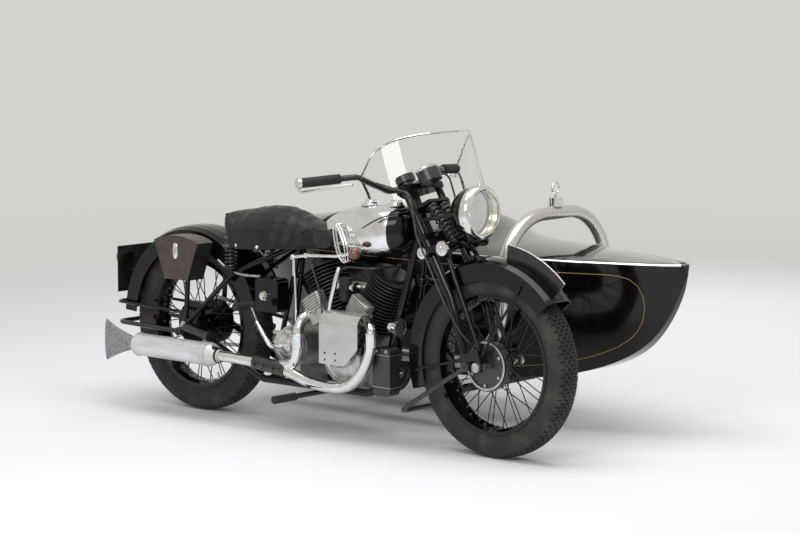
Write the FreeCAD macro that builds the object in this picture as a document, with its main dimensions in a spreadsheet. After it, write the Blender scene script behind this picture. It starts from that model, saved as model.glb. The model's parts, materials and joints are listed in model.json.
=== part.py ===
import FreeCAD, Part
import math
import os
import Sketcher
from FreeCAD import Placement, Rotation, Vector

# Sidecar motorcycle of the nineteen-thirties: a rigid cradle frame with a
# V-twin engine, a leading-link spring fork, and a boat-shaped sidecar on the
# left of the machine, carried by a large-tube chassis loop.
# Lengths are in millimetres. +X points forward, +Y to the sidecar, +Z up.
# Places are first given from the ground under the rear axle; at the end every
# piece is set back so that the origin lies under the middle of the machine.

DOC = FreeCAD.newDocument("SidecarMotorcycle")

# Driving sizes, kept in the sheet
SIZES = {
    # Stance
    "wheelbase": 1500,
    "trail": 110,
    "front_tyre_radius": 336,
    "rear_tyre_radius": 343,
    "sidecar_tyre_radius": 336,
    "sidecar_track": 1150,
    "sidecar_wheel_lead": 170,
    # Wheels
    "tyre_width": 104,
    "tread_width": 44,
    "shoulder_width": 90,
    "shoulder_drop": 14,
    "sidewall_drop": 44,
    "rim_radius": 253,
    "rim_width": 82,
    "rim_wall": 3,
    "bead_depth": 10,
    "well_depth": 24,
    "well_width": 40,
    "seat_gap": 0.3,
    "running_gap": 0.05,
    "clearance": 6,
    "spoke_radius": 2,
    "spoke_offset": 8,
    "hub_radius": 24,
    "hub_flange_radius": 44,
    "hub_flange_side": 36,
    "hub_flange_wall": 5,
    "drum_radius": 90,
    "drum_width": 26,
    "axle_radius": 10,
    "nut_radius": 17,
    "nut_height": 13,
    "sprocket_radius": 86,
    "sprocket_side": 72,
    "sprocket_wall": 7,
    # Frame
    "head_top_along": 1045,
    "head_bottom_along": 872,
    "head_radius": 25,
    "stem_radius": 16,
    "frame_tube_radius": 14,
    "stay_radius": 10,
    "lug_radius": 20,
    "saddle_lug_ahead": 548,
    "saddle_lug_up": 700,
    "cradle_side": 76,
    "cradle_rear_side": 96,
    "post_side": 44,
    "cradle_up": 176,
    "cradle_front_ahead": 975,
    "cradle_rear_ahead": 420,
    "cradle_bend": 70,
    "dropout_side": 102,
    "dropout_wall": 9,
    "dropout_radius": 30,
    # Engine
    "crank_ahead": 825,
    "crank_up": 300,
    "case_radius": 122,
    "case_half_width": 58,
    "timing_depth": 34,
    "timing_radius": 96,
    "barrel_start": 116,
    "barrel_length": 176,
    "barrel_radius": 50,
    "fin_reach": 82,
    "fin_wall": 4,
    "fin_pitch": 14,
    "head_length": 62,
    "plug_radius": 9,
    "plug_height": 38,
    "chest_side": 109.4,
    "chest_radius": 27,
    "chest_length": 84,
    "gearbox_ahead": 574,
    "gearbox_up": 318,
    "gearbox_radius": 78,
    "gearbox_right": 96,
    "gearbox_left": 60,
    "gearbox_cover_depth": 30,
    "primary_side": 100,
    "primary_width": 42,
    "primary_crank_radius": 92,
    "primary_clutch_radius": 108,
    "chain_wall": 13,
    "chain_width": 9,
    "drive_sprocket_radius": 36,
    "magneto_radius": 28,
    "magneto_length": 124,
    "magneto_side": 160,
    "magneto_ahead": 862,
    "magneto_up": 400,
    "shield_side": 212,
    "shield_wall": 3,
    "shield_bend": 46,
    "shield_inner_side": 142,
    "shield_bottom": 292,
    "shield_top": 484,
    "shield_rear": 822,
    "shield_front": 1012,
    "carburettor_radius": 24,
    "carburettor_height": 84,
    "inlet_radius": 17,
    "inlet_up": 560,
    # Exhaust
    "pipe_radius": 21,
    "pipe_bend": 90,
    "pipe_side": 168,
    "silencer_side": 200,
    "silencer_up": 262,
    "silencer_front": 292,
    "silencer_rear": -190,
    "silencer_radius": 44,
    "silencer_neck_radius": 24,
    "silencer_taper": 46,
    "tail_end": -355,
    "tail_height": 166,
    "tail_width": 52,
    # Tank, saddle and boxes
    "tank_rear": 702,
    "tank_front": 1108,
    "tank_half_width": 118,
    "tank_bottom": 676,
    "tank_top": 872,
    "tunnel_gap": 0.3,
    "cap_radius": 27,
    "cap_height": 16,
    "knee_length": 96,
    "knee_height": 74,
    "knee_wall": 14,
    "saddle_rear": 205,
    "saddle_front": 672,
    "saddle_half_width": 148,
    "saddle_top": 836,
    "saddle_bottom": 664,
    "saddle_channel_half": 44,
    "saddle_channel_room": 5,
    "saddle_spring_radius": 26,
    "saddle_spring_ahead": 262,
    "saddle_spring_side": 112,
    "saddle_spring_bottom": 588,
    "oil_tank_ahead": 462,
    "oil_tank_up": 502,
    "oil_tank_length": 120,
    "oil_tank_width": 60,
    "oil_tank_height": 128,
    "oil_tank_side": 92,
    "box_corner": 18,
    "battery_ahead": 1070,
    "battery_up": 276,
    "battery_length": 84,
    "battery_width": 54,
    "battery_height": 178,
    "horn_radius": 34,
    "horn_length": 44,
    "horn_ahead": 1108,
    "horn_side": 108,
    "horn_up": 440,
    "toolbox_depth": 84,
    "toolbox_ahead": 44,
    "toolbox_bottom": 534,
    "toolbox_seam": 640,
    "toolbox_top": 706,
    "toolbox_top_width": 262,
    "toolbox_bottom_width": 128,
    "toolbox_wall": 4,
    "gear_side": 150,
    "gear_rod_radius": 5.5,
    "plate_bolt_radius": 3.2,
    "plate_bolt_side": 50,
    # Mudguards
    "guard_gap": 29,
    "guard_half_width": 66,
    "rear_guard_half_width": 83,
    "guard_skirt": 62,
    "guard_wall": 2.5,
    "guard_crown": 16,
    "handle_up": 392,
    "handle_reach": 402,
    "rear_plate_back": -404,
    "rear_plate_bottom": 438,
    "rear_plate_height": 184,
    "rear_plate_width": 190,
    "rear_plate_wall": 4,
    "tail_lamp_radius": 30,
    "tail_lamp_length": 42,
    "front_plate_height": 50,
    "front_plate_wall": 6,
    # Fork and bars
    "leg_side": 90,
    "leg_radius": 13,
    "leg_top_ahead": 58,
    "leg_foot_along": 398,
    "leg_foot_ahead": 14,
    "crown_wall": 22,
    "crown_depth": 34,
    "spring_leg_side": 78,
    "spring_leg_radius": 9,
    "spring_leg_top_along": 770,
    "spring_leg_top_ahead": 112,
    "spring_leg_foot_along": 402,
    "spring_leg_foot_ahead": 80,
    "spring_radius": 22,
    "spring_side": 30,
    "spring_foot_along": 800,
    "spring_foot_ahead": 132,
    "spring_head_along": 968,
    "spring_head_ahead": 90,
    "hanger_wall": 12,
    "bar_radius": 11,
    "bar_bend": 60,
    "bar_reach": 410,
    "grip_radius": 17,
    "grip_length": 140,
    "lamp_radius": 92,
    "lamp_rim_radius": 100,
    "lamp_rim_depth": 22,
    "lamp_depth": 100,
    "lamp_front": 1446,
    "lamp_up": 871,
    "lens_bulge": 16,
    "lens_wall": 4,
    "speedometer_radius": 42,
    "speedometer_depth": 52,
    "damper_radius": 24,
    "damper_knob_radius": 36,
    "friction_disc_radius": 20,
    "friction_disc_side": 115,
    "friction_disc_wall": 14,
    "friction_along": 805,
    "cable_radius": 3.5,
    "cable_bend": 40,
    "lever_radius": 4,
    "lever_length": 178,
    "lever_drop": 40,
    # Stands and footrests
    "stand_radius": 9,
    "rear_stand_side": 132,
    "rear_stand_reach": 352,
    "stand_pin_radius": 6,
    "front_stand_side": 130,
    "front_stand_reach": 372,
    "front_stand_lag": 39,
    "footrest_side": 205,
    "footrest_length": 110,
    "footrest_radius": 15,
    "pillion_rest_side": 176,
    "pillion_rest_rear": 70,
    "pillion_rest_front": 203,
    "pillion_rest_rear_up": 349,
    "pillion_rest_front_up": 324,
    # Sidecar
    "body_side": 610,
    "nose_ahead": 1880,
    "body_tail": -330,
    "body_half_width": 288,
    "deck_edge_up": 664,
    "keel_up": 168,
    "scuttle_up": 800,
    "cockpit_rear": 236,
    "cockpit_front": 850,
    "cockpit_half_width": 250,
    "body_wall": 14,
    "chassis_radius": 25,
    "chassis_up": 262,
    "chassis_side": 312,
    "chassis_rear": 20,
    "arch_ahead": 1272,
    "arch_top": 816,
    "arch_bend": 240,
    "cross_radius": 16,
    "spring_block": 40,
    "seat_length": 430,
    "seat_thickness": 170,
    "seat_low_half": 104,
    "seat_high_half": 158,
    "squab_thickness": 90,
    "squab_top": 744,
    "squab_top_half": 172,
    "screen_radius": 286,
    "screen_wall": 4,
    "screen_ahead": 580,
    "screen_top": 1105,
    "screen_corner_length": 240,
    "screen_corner_height": 176,
    "screen_rear": 550,
    "ornament_radius": 20,
    "ornament_wall": 4,
}
RAKE = 29.7
CYLINDER_LEAN = 30.0
SPOKES_A_SIDE = 20
OVERRUN_SHARE = 1.5
EYE_SHARE = 1.15
X_AXIS = Vector(1, 0, 0)
Y_AXIS = Vector(0, 1, 0)
Z_AXIS = Vector(0, 0, 1)
UPRIGHT = Rotation(X_AXIS, 90)
BOTH_SIDES = (-1, 1)


class Size:
    """A length that knows its value and the sheet's expression for it."""

    def __init__(self, value, text):
        self.value = float(value)
        self.text = text

    def __float__(self):
        return self.value

    def __neg__(self):
        return Size(-self.value, "(-" + self.text + ")")

    def __add__(self, other):
        return Size(self.value + float(other), "(" + self.text + " + " + words(other) + ")")

    def __radd__(self, other):
        return self + other

    def __sub__(self, other):
        return Size(self.value - float(other), "(" + self.text + " - " + words(other) + ")")

    def __rsub__(self, other):
        return -self + other

    def __mul__(self, share):
        return Size(self.value * share, "(" + self.text + " * " + words(share) + ")")

    def __rmul__(self, share):
        return self * share

    def __truediv__(self, share):
        return self * (1 / share)


def words(value):
    """The expression for a size or a plain number."""
    return value.text if isinstance(value, Size) else "(" + repr(float(value)) + ")"


class Sheet:
    """The driving sizes, each a named cell of the document's sheet."""

    def __init__(self, sizes):
        self.cells = DOC.addObject("Spreadsheet::Sheet", "Sizes")
        for row, (name, value) in enumerate(sizes.items(), start=1):
            cell = "A" + str(row)
            self.cells.set(cell, str(value))
            self.cells.setAlias(cell, name)
        DOC.recompute()

    def __getattr__(self, name):
        return Size(self.cells.get(name), "Sizes." + name)


size = Sheet(SIZES)


# Points and placing

def vector(point):
    """A point's plain numbers."""
    return Vector(float(point[0]), float(point[1]), float(point[2]))


def moved(point, ahead=0, side=0, up=0):
    """A point set off from another."""
    return (point[0] + ahead, point[1] + side, point[2] + up)


def run_point(start, end, share):
    """A point part of the way from one point to another."""
    return tuple(first * (1 - share) + last * share for first, last in zip(start, end))


def bind(piece, prop, value):
    """Ties a property to the sheet, or sets it where the value is a plain number."""
    if isinstance(value, Size):
        piece.setExpression(prop, value.text)
    else:
        setattr(piece, prop, float(value))


def place(piece, point, rotation=None):
    """Puts a piece's own origin at a point, turned as given."""
    piece.Placement = Placement(vector(point), rotation or Rotation())
    for letter, value in zip("xyz", point):
        if isinstance(value, Size):
            piece.setExpression("Placement.Base." + letter, value.text)
    return piece


def rod(start, end, radius):
    """A round bar between two points."""
    piece = DOC.addObject("Part::Cylinder", "Rod")
    run = vector(end) - vector(start)
    bind(piece, "Radius", radius)
    piece.Height = run.Length
    return place(piece, start, Rotation(Z_AXIS, run))


def disc(centre, axis, radius, thickness):
    """A round plate centred on a point, square to an axis."""
    piece = DOC.addObject("Part::Cylinder", "Disc")
    bind(piece, "Radius", radius)
    bind(piece, "Height", thickness)
    half = thickness / 2
    start = [value - half * part for value, part in zip(centre, axis)]
    return place(piece, start, Rotation(Z_AXIS, axis))


def cone(start, end, start_radius, end_radius):
    """A tapered bar between two points."""
    piece = DOC.addObject("Part::Cone", "Cone")
    run = vector(end) - vector(start)
    bind(piece, "Radius1", start_radius)
    bind(piece, "Radius2", end_radius)
    piece.Height = run.Length
    return place(piece, start, Rotation(Z_AXIS, run))


def ball(centre, radius):
    """A ball about a point."""
    piece = DOC.addObject("Part::Sphere", "Ball")
    bind(piece, "Radius", radius)
    return place(piece, centre)


def ring(centre, axis, radius, wall):
    """A round-section ring about an axis."""
    piece = DOC.addObject("Part::Torus", "Ring")
    bind(piece, "Radius1", radius)
    bind(piece, "Radius2", wall)
    return place(piece, centre, Rotation(Z_AXIS, axis))


def block(centre, length, width, height, corner=None):
    """A box centred on a point, its upright edges rounded where a corner is given."""
    piece = DOC.addObject("Part::Box", "Block")
    bind(piece, "Length", length)
    bind(piece, "Width", width)
    bind(piece, "Height", height)
    place(piece, moved(centre, length / -2, width / -2, height / -2))
    if corner is None:
        return piece
    DOC.recompute()
    rounded = DOC.addObject("Part::Fillet", "Rounded")
    rounded.Base = piece
    rounded.Edges = [(number, float(corner), float(corner)) for number in edges_along(piece.Shape, Y_AXIS)]
    return rounded


def edges_along(shape, axis):
    """The numbers of a shape's straight edges that lie along an axis."""
    found = []
    for number, edge in enumerate(shape.Edges, start=1):
        run = edge.Vertexes[-1].Point - edge.Vertexes[0].Point
        if run.Length > 0 and abs(run.normalize().dot(axis)) > math.cos(math.radians(1)):
            found.append(number)
    return found


def outline_sketch(body, outline):
    """A closed outline of straight sides, each corner bound to the sheet."""
    sketch = body.newObject("Sketcher::SketchObject", "Outline")
    ground = [plane for plane in body.Origin.OriginFeatures if plane.Role == "XY_Plane"]
    sketch.AttachmentSupport = [(ground[0], "")]
    sketch.MapMode = "FlatFace"
    corners = [Vector(float(across), float(up), 0) for across, up in outline]
    count = len(corners)
    for start, end in zip(corners, corners[1:] + corners[:1]):
        sketch.addGeometry(Part.LineSegment(start, end), False)
    for side in range(count):
        sketch.addConstraint(Sketcher.Constraint("Coincident", side, 2, (side + 1) % count, 1))
    for side, corner in enumerate(outline):
        for kind, value, axis in (("DistanceX", corner[0], -2), ("DistanceY", corner[1], -1)):
            if float(value) == 0:
                sketch.addConstraint(Sketcher.Constraint("PointOnObject", side, 1, axis))
                continue
            number = sketch.addConstraint(Sketcher.Constraint(kind, -1, 1, side, 1, float(value)))
            if isinstance(value, Size):
                sketch.setExpression("Constraints[" + str(number) + "]", value.text)
    return sketch


def turned(centre, outline, axis=Y_AXIS, angle=360, start=0):
    """A body of revolution: the outline gives radius and place along the axis."""
    body = DOC.addObject("PartDesign::Body", "Turned")
    sketch = outline_sketch(body, outline)
    feature = body.newObject("PartDesign::Revolution", "Revolution")
    feature.Profile = sketch
    feature.ReferenceAxis = (sketch, ["V_Axis"])
    feature.Angle = angle
    return place(body, centre, Rotation(Y_AXIS, axis) * Rotation(Y_AXIS, start))


def plate(centre, outline, thickness, rotation=UPRIGHT):
    """A flat plate of a given outline, centred in its thickness."""
    body = DOC.addObject("PartDesign::Body", "Plate")
    sketch = outline_sketch(body, outline)
    pad = body.newObject("PartDesign::Pad", "Pad")
    pad.Profile = sketch
    bind(pad, "Length", thickness)
    normal = rotation.multVec(Z_AXIS)
    start = [value - thickness * part / 2 for value, part in zip(centre, normal)]
    return place(body, start, rotation)


def feature(shape):
    """A shape kept as a piece of the document."""
    piece = DOC.addObject("Part::Feature", "Shaped")
    piece.Shape = shape
    return piece


def route_wire(route, bend):
    """Straight runs joined by tangent arcs, the bend as large as the runs allow."""
    points = [vector(point) for point in route]
    edges = []
    last = points[0]
    for before, corner, after in zip(points, points[1:], points[2:]):
        back = before - corner
        on = after - corner
        room = min(back.Length, on.Length) * 0.48
        back.normalize()
        on.normalize()
        half = back.getAngle(on) / 2
        reach = min(float(bend) / math.tan(half), room)
        radius = reach * math.tan(half)
        inward = (back + on).normalize()
        centre = corner + inward * (radius / math.sin(half))
        start = corner + back * reach
        end = corner + on * reach
        edges.append(Part.LineSegment(last, start).toShape())
        edges.append(Part.Arc(start, centre - inward * radius, end).toShape())
        last = end
    edges.append(Part.LineSegment(last, points[-1]).toShape())
    return Part.Wire(edges)


def tube(route, radius, bend):
    """A bent round tube along a route."""
    wire = route_wire(route, bend)
    begin = vector(route[0])
    mouth = Part.Wire(Part.makeCircle(float(radius), begin, vector(route[1]) - begin))
    return feature(wire.makePipe(Part.Face(mouth)))


def smooth_ring(points):
    """A closed smooth curve through points, as a wire."""
    curve = Part.BSplineCurve()
    curve.interpolate(points, PeriodicFlag=True)
    return Part.Wire(curve.toShape())


def loft(wires, ruled=False):
    """A solid through a row of closed outlines."""
    return feature(Part.makeLoft(wires, True, ruled))


def joined(pieces):
    """The pieces made one."""
    if len(pieces) == 1:
        return pieces[0]
    whole = DOC.addObject("Part::MultiFuse", "Joined")
    whole.Shapes = pieces
    return whole


def joined_in_turn(pieces):
    """The pieces made one, each added to what is already joined."""
    whole = pieces[0]
    for piece in pieces[1:]:
        pair = DOC.addObject("Part::Fuse", "Pair")
        pair.Base = whole
        pair.Tool = piece
        whole = pair
    return whole


def shifted(piece, ahead=0, side=0, up=0):
    """A piece again, set off a little, to cut its neighbour with a gap."""
    again = DOC.addObject("Part::Compound", "Again")
    again.Links = [piece]
    return place(again, (ahead, side, up))


def cut(base, tools):
    """The base with the tools taken out of it."""
    result = DOC.addObject("Part::Cut", "Trimmed")
    result.Base = base
    result.Tool = joined(tools)
    return result


SUBPARTS = []


def subpart(name, pieces):
    """Names a finished sub-part, whose pieces don't overlap one another."""
    whole = DOC.addObject("Part::Compound", "Subpart")
    whole.Links = pieces
    whole.Label = name
    SUBPARTS.append(whole)
    return whole


# Frames of reference

COS_RAKE = math.cos(math.radians(RAKE))
SIN_RAKE = math.sin(math.radians(RAKE))
HEAD_AXIS = Vector(-SIN_RAKE, 0, COS_RAKE)
REAR_AXLE = (0, 0, size.rear_tyre_radius)
FRONT_AXLE = (size.wheelbase, 0, size.front_tyre_radius)
SIDECAR_AXLE = (size.sidecar_wheel_lead, size.sidecar_track, size.sidecar_tyre_radius)
CRANK = (size.crank_ahead, 0, size.crank_up)
GEARBOX = (size.gearbox_ahead, 0, size.gearbox_up)


def on_fork(ahead, side, along):
    """A point given from the steering axis, along measured from the ground up it."""
    x = size.wheelbase + size.trail + ahead * COS_RAKE - along * SIN_RAKE
    z = ahead * SIN_RAKE + along * COS_RAKE
    return (x, side, z)


# Wheels

def tyre(name, axle, radius):
    """A tyre seated between the rim's flanges."""
    bead = size.rim_radius - size.bead_depth
    half_bead = size.rim_width / 2 - size.rim_wall - size.seat_gap
    half = [
        (bead, half_bead),
        (size.rim_radius + size.seat_gap, half_bead),
        (radius - size.sidewall_drop, size.tyre_width / 2),
        (radius - size.shoulder_drop, size.shoulder_width / 2),
        (radius, size.tread_width / 2),
    ]
    outline = half + [(reach, -across) for reach, across in reversed(half)]
    subpart(name, [turned(axle, outline)])


def rim(axle):
    """A rolled steel rim with flanges and a well."""
    half = size.rim_width / 2
    seat = size.rim_radius - size.bead_depth - size.seat_gap
    well = size.rim_radius - size.well_depth
    side = [
        (seat, half - size.rim_wall),
        (size.rim_radius, half - size.rim_wall),
        (size.rim_radius, half),
        (seat - size.rim_wall, half),
        (well, size.well_width / 2),
    ]
    outline = side + [(reach, -across) for reach, across in reversed(side)]
    return turned(axle, outline)


def hub(axle, drum_side):
    """A spool hub bored for its axle, with a brake drum on one side."""
    bore = size.axle_radius + size.running_gap
    end = size.hub_flange_side
    inner = end - size.hub_flange_wall
    outline = [
        (bore, -end),
        (size.hub_flange_radius, -end),
        (size.hub_flange_radius, -inner),
        (size.hub_radius, -inner),
        (size.hub_radius, inner),
        (size.hub_flange_radius, inner),
        (size.hub_flange_radius, end),
        (bore, end),
    ]
    pieces = [turned(axle, outline)]
    if drum_side:
        drum = [
            (bore, inner * drum_side),
            (size.drum_radius, inner * drum_side),
            (size.drum_radius, (inner + size.drum_width) * drum_side),
            (bore, (inner + size.drum_width) * drum_side),
        ]
        pieces.append(turned(axle, drum))
    return pieces


def spokes(axle, drum_side):
    """Crossed wire spokes from both flanges to the rim's well."""
    pieces = []
    foot = size.rim_radius - size.well_depth - size.rim_wall / 2 + size.rim_wall
    lead = math.radians(360 / SPOKES_A_SIDE)
    for side in BOTH_SIDES:
        flange = size.hub_flange_radius - size.spoke_radius * 2
        if side == drum_side:
            flange = size.drum_radius - size.spoke_radius * 2
        sideways = (size.hub_flange_side - size.hub_flange_wall / 2) * side
        for number in range(SPOKES_A_SIDE):
            angle = lead * (number + side / 4)
            swing = lead * (2 if number % 2 else -2) * (float(size.hub_flange_radius) / float(flange))
            start = moved(axle, flange * math.cos(angle + swing), sideways, flange * math.sin(angle + swing))
            end = moved(axle, foot * math.cos(angle), size.spoke_offset * side, foot * math.sin(angle))
            pieces.append(rod(start, end, size.spoke_radius))
    return pieces


def wheel(name, axle, drum_side, extras=()):
    """A wire wheel without its tyre: rim, hub, spokes and what turns with them."""
    pieces = [rim(axle)] + hub(axle, drum_side) + spokes(axle, drum_side) + list(extras)
    subpart(name, [joined(pieces)])


def rear_sprocket():
    """The chain wheel on the rear hub."""
    bore = size.axle_radius + size.running_gap
    outline = [
        (bore, size.hub_flange_side - size.hub_flange_wall),
        (size.hub_flange_radius, size.hub_flange_side - size.hub_flange_wall),
        (size.hub_flange_radius, size.sprocket_side - size.sprocket_wall / 2),
        (size.sprocket_radius, size.sprocket_side - size.sprocket_wall / 2),
        (size.sprocket_radius, size.sprocket_side + size.sprocket_wall / 2),
        (bore, size.sprocket_side + size.sprocket_wall / 2),
    ]
    return turned(REAR_AXLE, outline)


def axle_bar(axle, low, high):
    """An axle with a nut at each end."""
    start = moved(axle, side=low)
    end = moved(axle, side=high)
    return [
        rod(start, end, size.axle_radius),
        disc(moved(axle, side=low - size.nut_height / 2), Y_AXIS, size.nut_radius, size.nut_height),
        disc(moved(axle, side=high + size.nut_height / 2), Y_AXIS, size.nut_radius, size.nut_height),
    ]


# Mudguards

def mudguard(axle, tyre_radius, half_width, first, last):
    """A crowned guard with side skirts, over an arc of the wheel in degrees."""
    crown = tyre_radius + size.guard_gap + size.guard_crown
    shoulder = tyre_radius + size.guard_gap
    hem = shoulder - size.guard_skirt
    wall = size.guard_wall
    outer = [
        (hem, half_width),
        (shoulder, half_width),
        (shoulder + size.guard_crown * 0.7, half_width * 0.72),
        (crown, half_width * 0.3),
    ]
    inner = [
        (crown - wall, half_width * 0.28),
        (shoulder + size.guard_crown * 0.7 - wall, half_width * 0.68),
        (shoulder - wall / 2, half_width - wall),
        (hem, half_width - wall),
    ]
    outline = outer + [(reach, -across) for reach, across in reversed(outer)]
    outline += [(reach, -across) for reach, across in reversed(inner)] + inner
    return turned(axle, outline, angle=last - first, start=-last)


def arc_point(axle, radius, angle, side=0):
    """A point on a wheel's circle, the angle counted up from straight ahead."""
    turn = math.radians(angle)
    return moved(axle, radius * math.cos(turn), side, radius * math.sin(turn))


# Frame of the motorcycle

def head_point(along):
    """A point on the steering axis."""
    return on_fork(0, 0, along)


def rear_stand_pivot():
    """Where the rear stand hinges, behind the axle."""
    return moved(REAR_AXLE, ahead=-size.dropout_radius * 0.3, up=-size.dropout_radius * 0.75)


def front_stand_pivot():
    """Where the front stand hinges, behind the axle."""
    return moved(FRONT_AXLE, ahead=-size.front_stand_lag)


def down_tube(side):
    """The two ends of a front down tube's straight run."""
    start = head_point(size.head_bottom_along + size.head_radius * 2.2)
    return (moved(start, side=size.frame_tube_radius * side),
            (size.cradle_front_ahead + size.cradle_bend, size.cradle_side * side,
             size.cradle_up + size.cradle_bend * 2))


def rear_post(side):
    """The two ends of the post from the saddle lug down to the cradle."""
    start = (size.saddle_lug_ahead - size.stay_radius, size.stay_radius * side, size.saddle_lug_up)
    return start, (size.cradle_rear_ahead, size.post_side * side, size.cradle_up)


def frame():
    """The rigid duplex cradle with its head, stays and dropouts."""
    saddle_lug = (size.saddle_lug_ahead, 0, size.saddle_lug_up)
    top_tube_start = head_point(size.head_top_along - size.head_radius * 2)
    pieces = [
        rod(head_point(size.head_bottom_along), head_point(size.head_top_along), size.head_radius),
        rod(top_tube_start, saddle_lug, size.frame_tube_radius),
        disc(saddle_lug, Y_AXIS, size.lug_radius, size.lug_radius * 2),
        rod((size.cradle_rear_ahead, -size.cradle_rear_side, size.cradle_up),
            (size.cradle_rear_ahead, size.cradle_rear_side, size.cradle_up), size.stay_radius),
    ]
    for side in BOTH_SIDES:
        down_start, down_end = down_tube(side)
        dropout = (0, size.dropout_side * side, size.rear_tyre_radius)
        cradle = [
            down_start,
            down_end,
            (size.cradle_front_ahead, size.cradle_side * side, size.cradle_up),
            (size.cradle_rear_ahead, size.cradle_rear_side * side, size.cradle_up),
            moved(dropout, ahead=size.dropout_radius * 0.5),
        ]
        pieces.append(tube(cradle, size.frame_tube_radius, size.cradle_bend))
        stay_start = moved(saddle_lug, side=size.stay_radius * side)
        pieces.append(tube([stay_start, (size.saddle_spring_ahead, size.dropout_side * side,
                                         size.saddle_spring_bottom - size.lug_radius), dropout],
                           size.stay_radius, size.cradle_bend))
        post_start, post_end = rear_post(side)
        pieces.append(rod(post_start, post_end, size.stay_radius))
        pieces.append(disc(dropout, Y_AXIS, size.dropout_radius, size.dropout_wall))
        pieces.append(rod(moved(rear_stand_pivot(), side=size.dropout_side * side),
                          moved(rear_stand_pivot(), side=(size.rear_stand_side + size.stand_radius) * side),
                          size.stand_pin_radius))
        carrier_top = (size.dropout_radius * 0.6, size.dropout_side * side,
                       size.toolbox_seam - size.lug_radius)
        pieces.append(rod(moved(dropout, up=size.dropout_radius * 0.8), carrier_top, size.stay_radius))
        guard_face = size.rear_guard_half_width + size.seat_gap
        for up in (size.toolbox_bottom, size.toolbox_seam - size.lug_radius * 2):
            pieces.append(rod((size.dropout_radius * 0.5, guard_face * side, up),
                              (size.dropout_radius * 0.5, size.dropout_side * side, up),
                              size.stand_pin_radius))
        perch = (size.saddle_spring_ahead, size.saddle_spring_side * side,
                 size.saddle_spring_bottom - size.stay_radius)
        pieces.append(disc(moved(perch, side=size.stay_radius * 0.5 * side), Z_AXIS, size.lug_radius,
                           size.stay_radius * 2 - size.seat_gap))
    strut = (0, size.dropout_side, size.handle_up)
    pieces.append(tube([moved(strut, side=-size.dropout_side * 2),
                        (-size.handle_reach, -size.dropout_side, size.handle_up + size.stay_radius),
                        (-size.handle_reach, size.dropout_side, size.handle_up + size.stay_radius), strut],
                       size.stand_pin_radius, size.lug_radius * OVERRUN_SHARE))
    solid = joined_in_turn(pieces)
    bore = rod(head_point(size.head_bottom_along - size.head_radius),
               head_point(size.head_top_along + size.head_radius), size.stem_radius + size.running_gap)
    eye = rod((0, -size.dropout_side * OVERRUN_SHARE, size.rear_tyre_radius),
              (0, size.dropout_side * OVERRUN_SHARE, size.rear_tyre_radius), size.axle_radius)
    flats = [disc(moved(REAR_AXLE, side=(size.dropout_side + size.dropout_wall / 2 + size.nut_height) * side),
                  Y_AXIS, size.nut_radius * EYE_SHARE, size.nut_height * 2) for side in BOTH_SIDES]
    subpart("frame", [cut(solid, [bore, eye] + flats)])
    subpart("rear_axle", [joined(axle_bar(REAR_AXLE, -size.dropout_side - size.dropout_wall / 2,
                                          size.dropout_side + size.dropout_wall / 2))])


def engine_lug(ahead, top, half_width):
    """A cast foot that stands between the cradle tubes."""
    low = size.cradle_up - size.frame_tube_radius
    centre = (ahead, 0, (low + top) / 2)
    return block(centre, size.lug_radius * 2, half_width * 2, top - low)


def cradle_side_at(ahead):
    """The cradle tube's distance from the middle at a place along it."""
    share = (float(size.cradle_front_ahead) - float(ahead)) / (
        float(size.cradle_front_ahead) - float(size.cradle_rear_ahead))
    return size.cradle_side * (1 - share) + size.cradle_rear_side * share


# Engine

def lean_axis(lean):
    """The direction of a cylinder that leans from the upright."""
    turn = math.radians(lean)
    return Vector(math.sin(turn), 0, math.cos(turn))


def along_cylinder(lean, along, side=0):
    """A point beside a cylinder's axis, measured from the crankshaft."""
    axis = lean_axis(lean)
    return moved(CRANK, along * axis.x, side, along * axis.z)


def crankcase():
    """The crankcase with its timing case and magneto chain cover on the right."""
    half = size.case_half_width
    case = disc(CRANK, Y_AXIS, size.case_radius, half * 2)
    timing = disc(moved(CRANK, side=-half - size.timing_depth / 2), Y_AXIS,
                  size.timing_radius, size.timing_depth)
    sump = block(moved(CRANK, up=size.case_radius * -0.62),
                 size.case_radius * 1.5, half * 1.4, size.case_radius * 0.5)
    shaft = rod(CRANK, moved(CRANK, side=size.primary_side), size.stem_radius)
    base = -half - size.timing_depth
    face = -size.magneto_side + size.magneto_radius
    outline = oval((CRANK[0], CRANK[2]), size.magneto_radius * 1.3,
                   (size.magneto_ahead + size.magneto_radius, size.magneto_up), size.magneto_radius, 8)
    cover = plate((0, (base + face) / 2, 0), outline, base - face)
    ahead = size.crank_ahead + size.case_radius * 0.25
    lug = engine_lug(ahead, size.crank_up - size.case_radius * 0.5,
                     cradle_side_at(ahead + size.lug_radius) - size.frame_tube_radius - size.seat_gap)
    subpart("crankcase", [joined_in_turn([case, timing, sump, shaft, cover, lug])])


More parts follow.
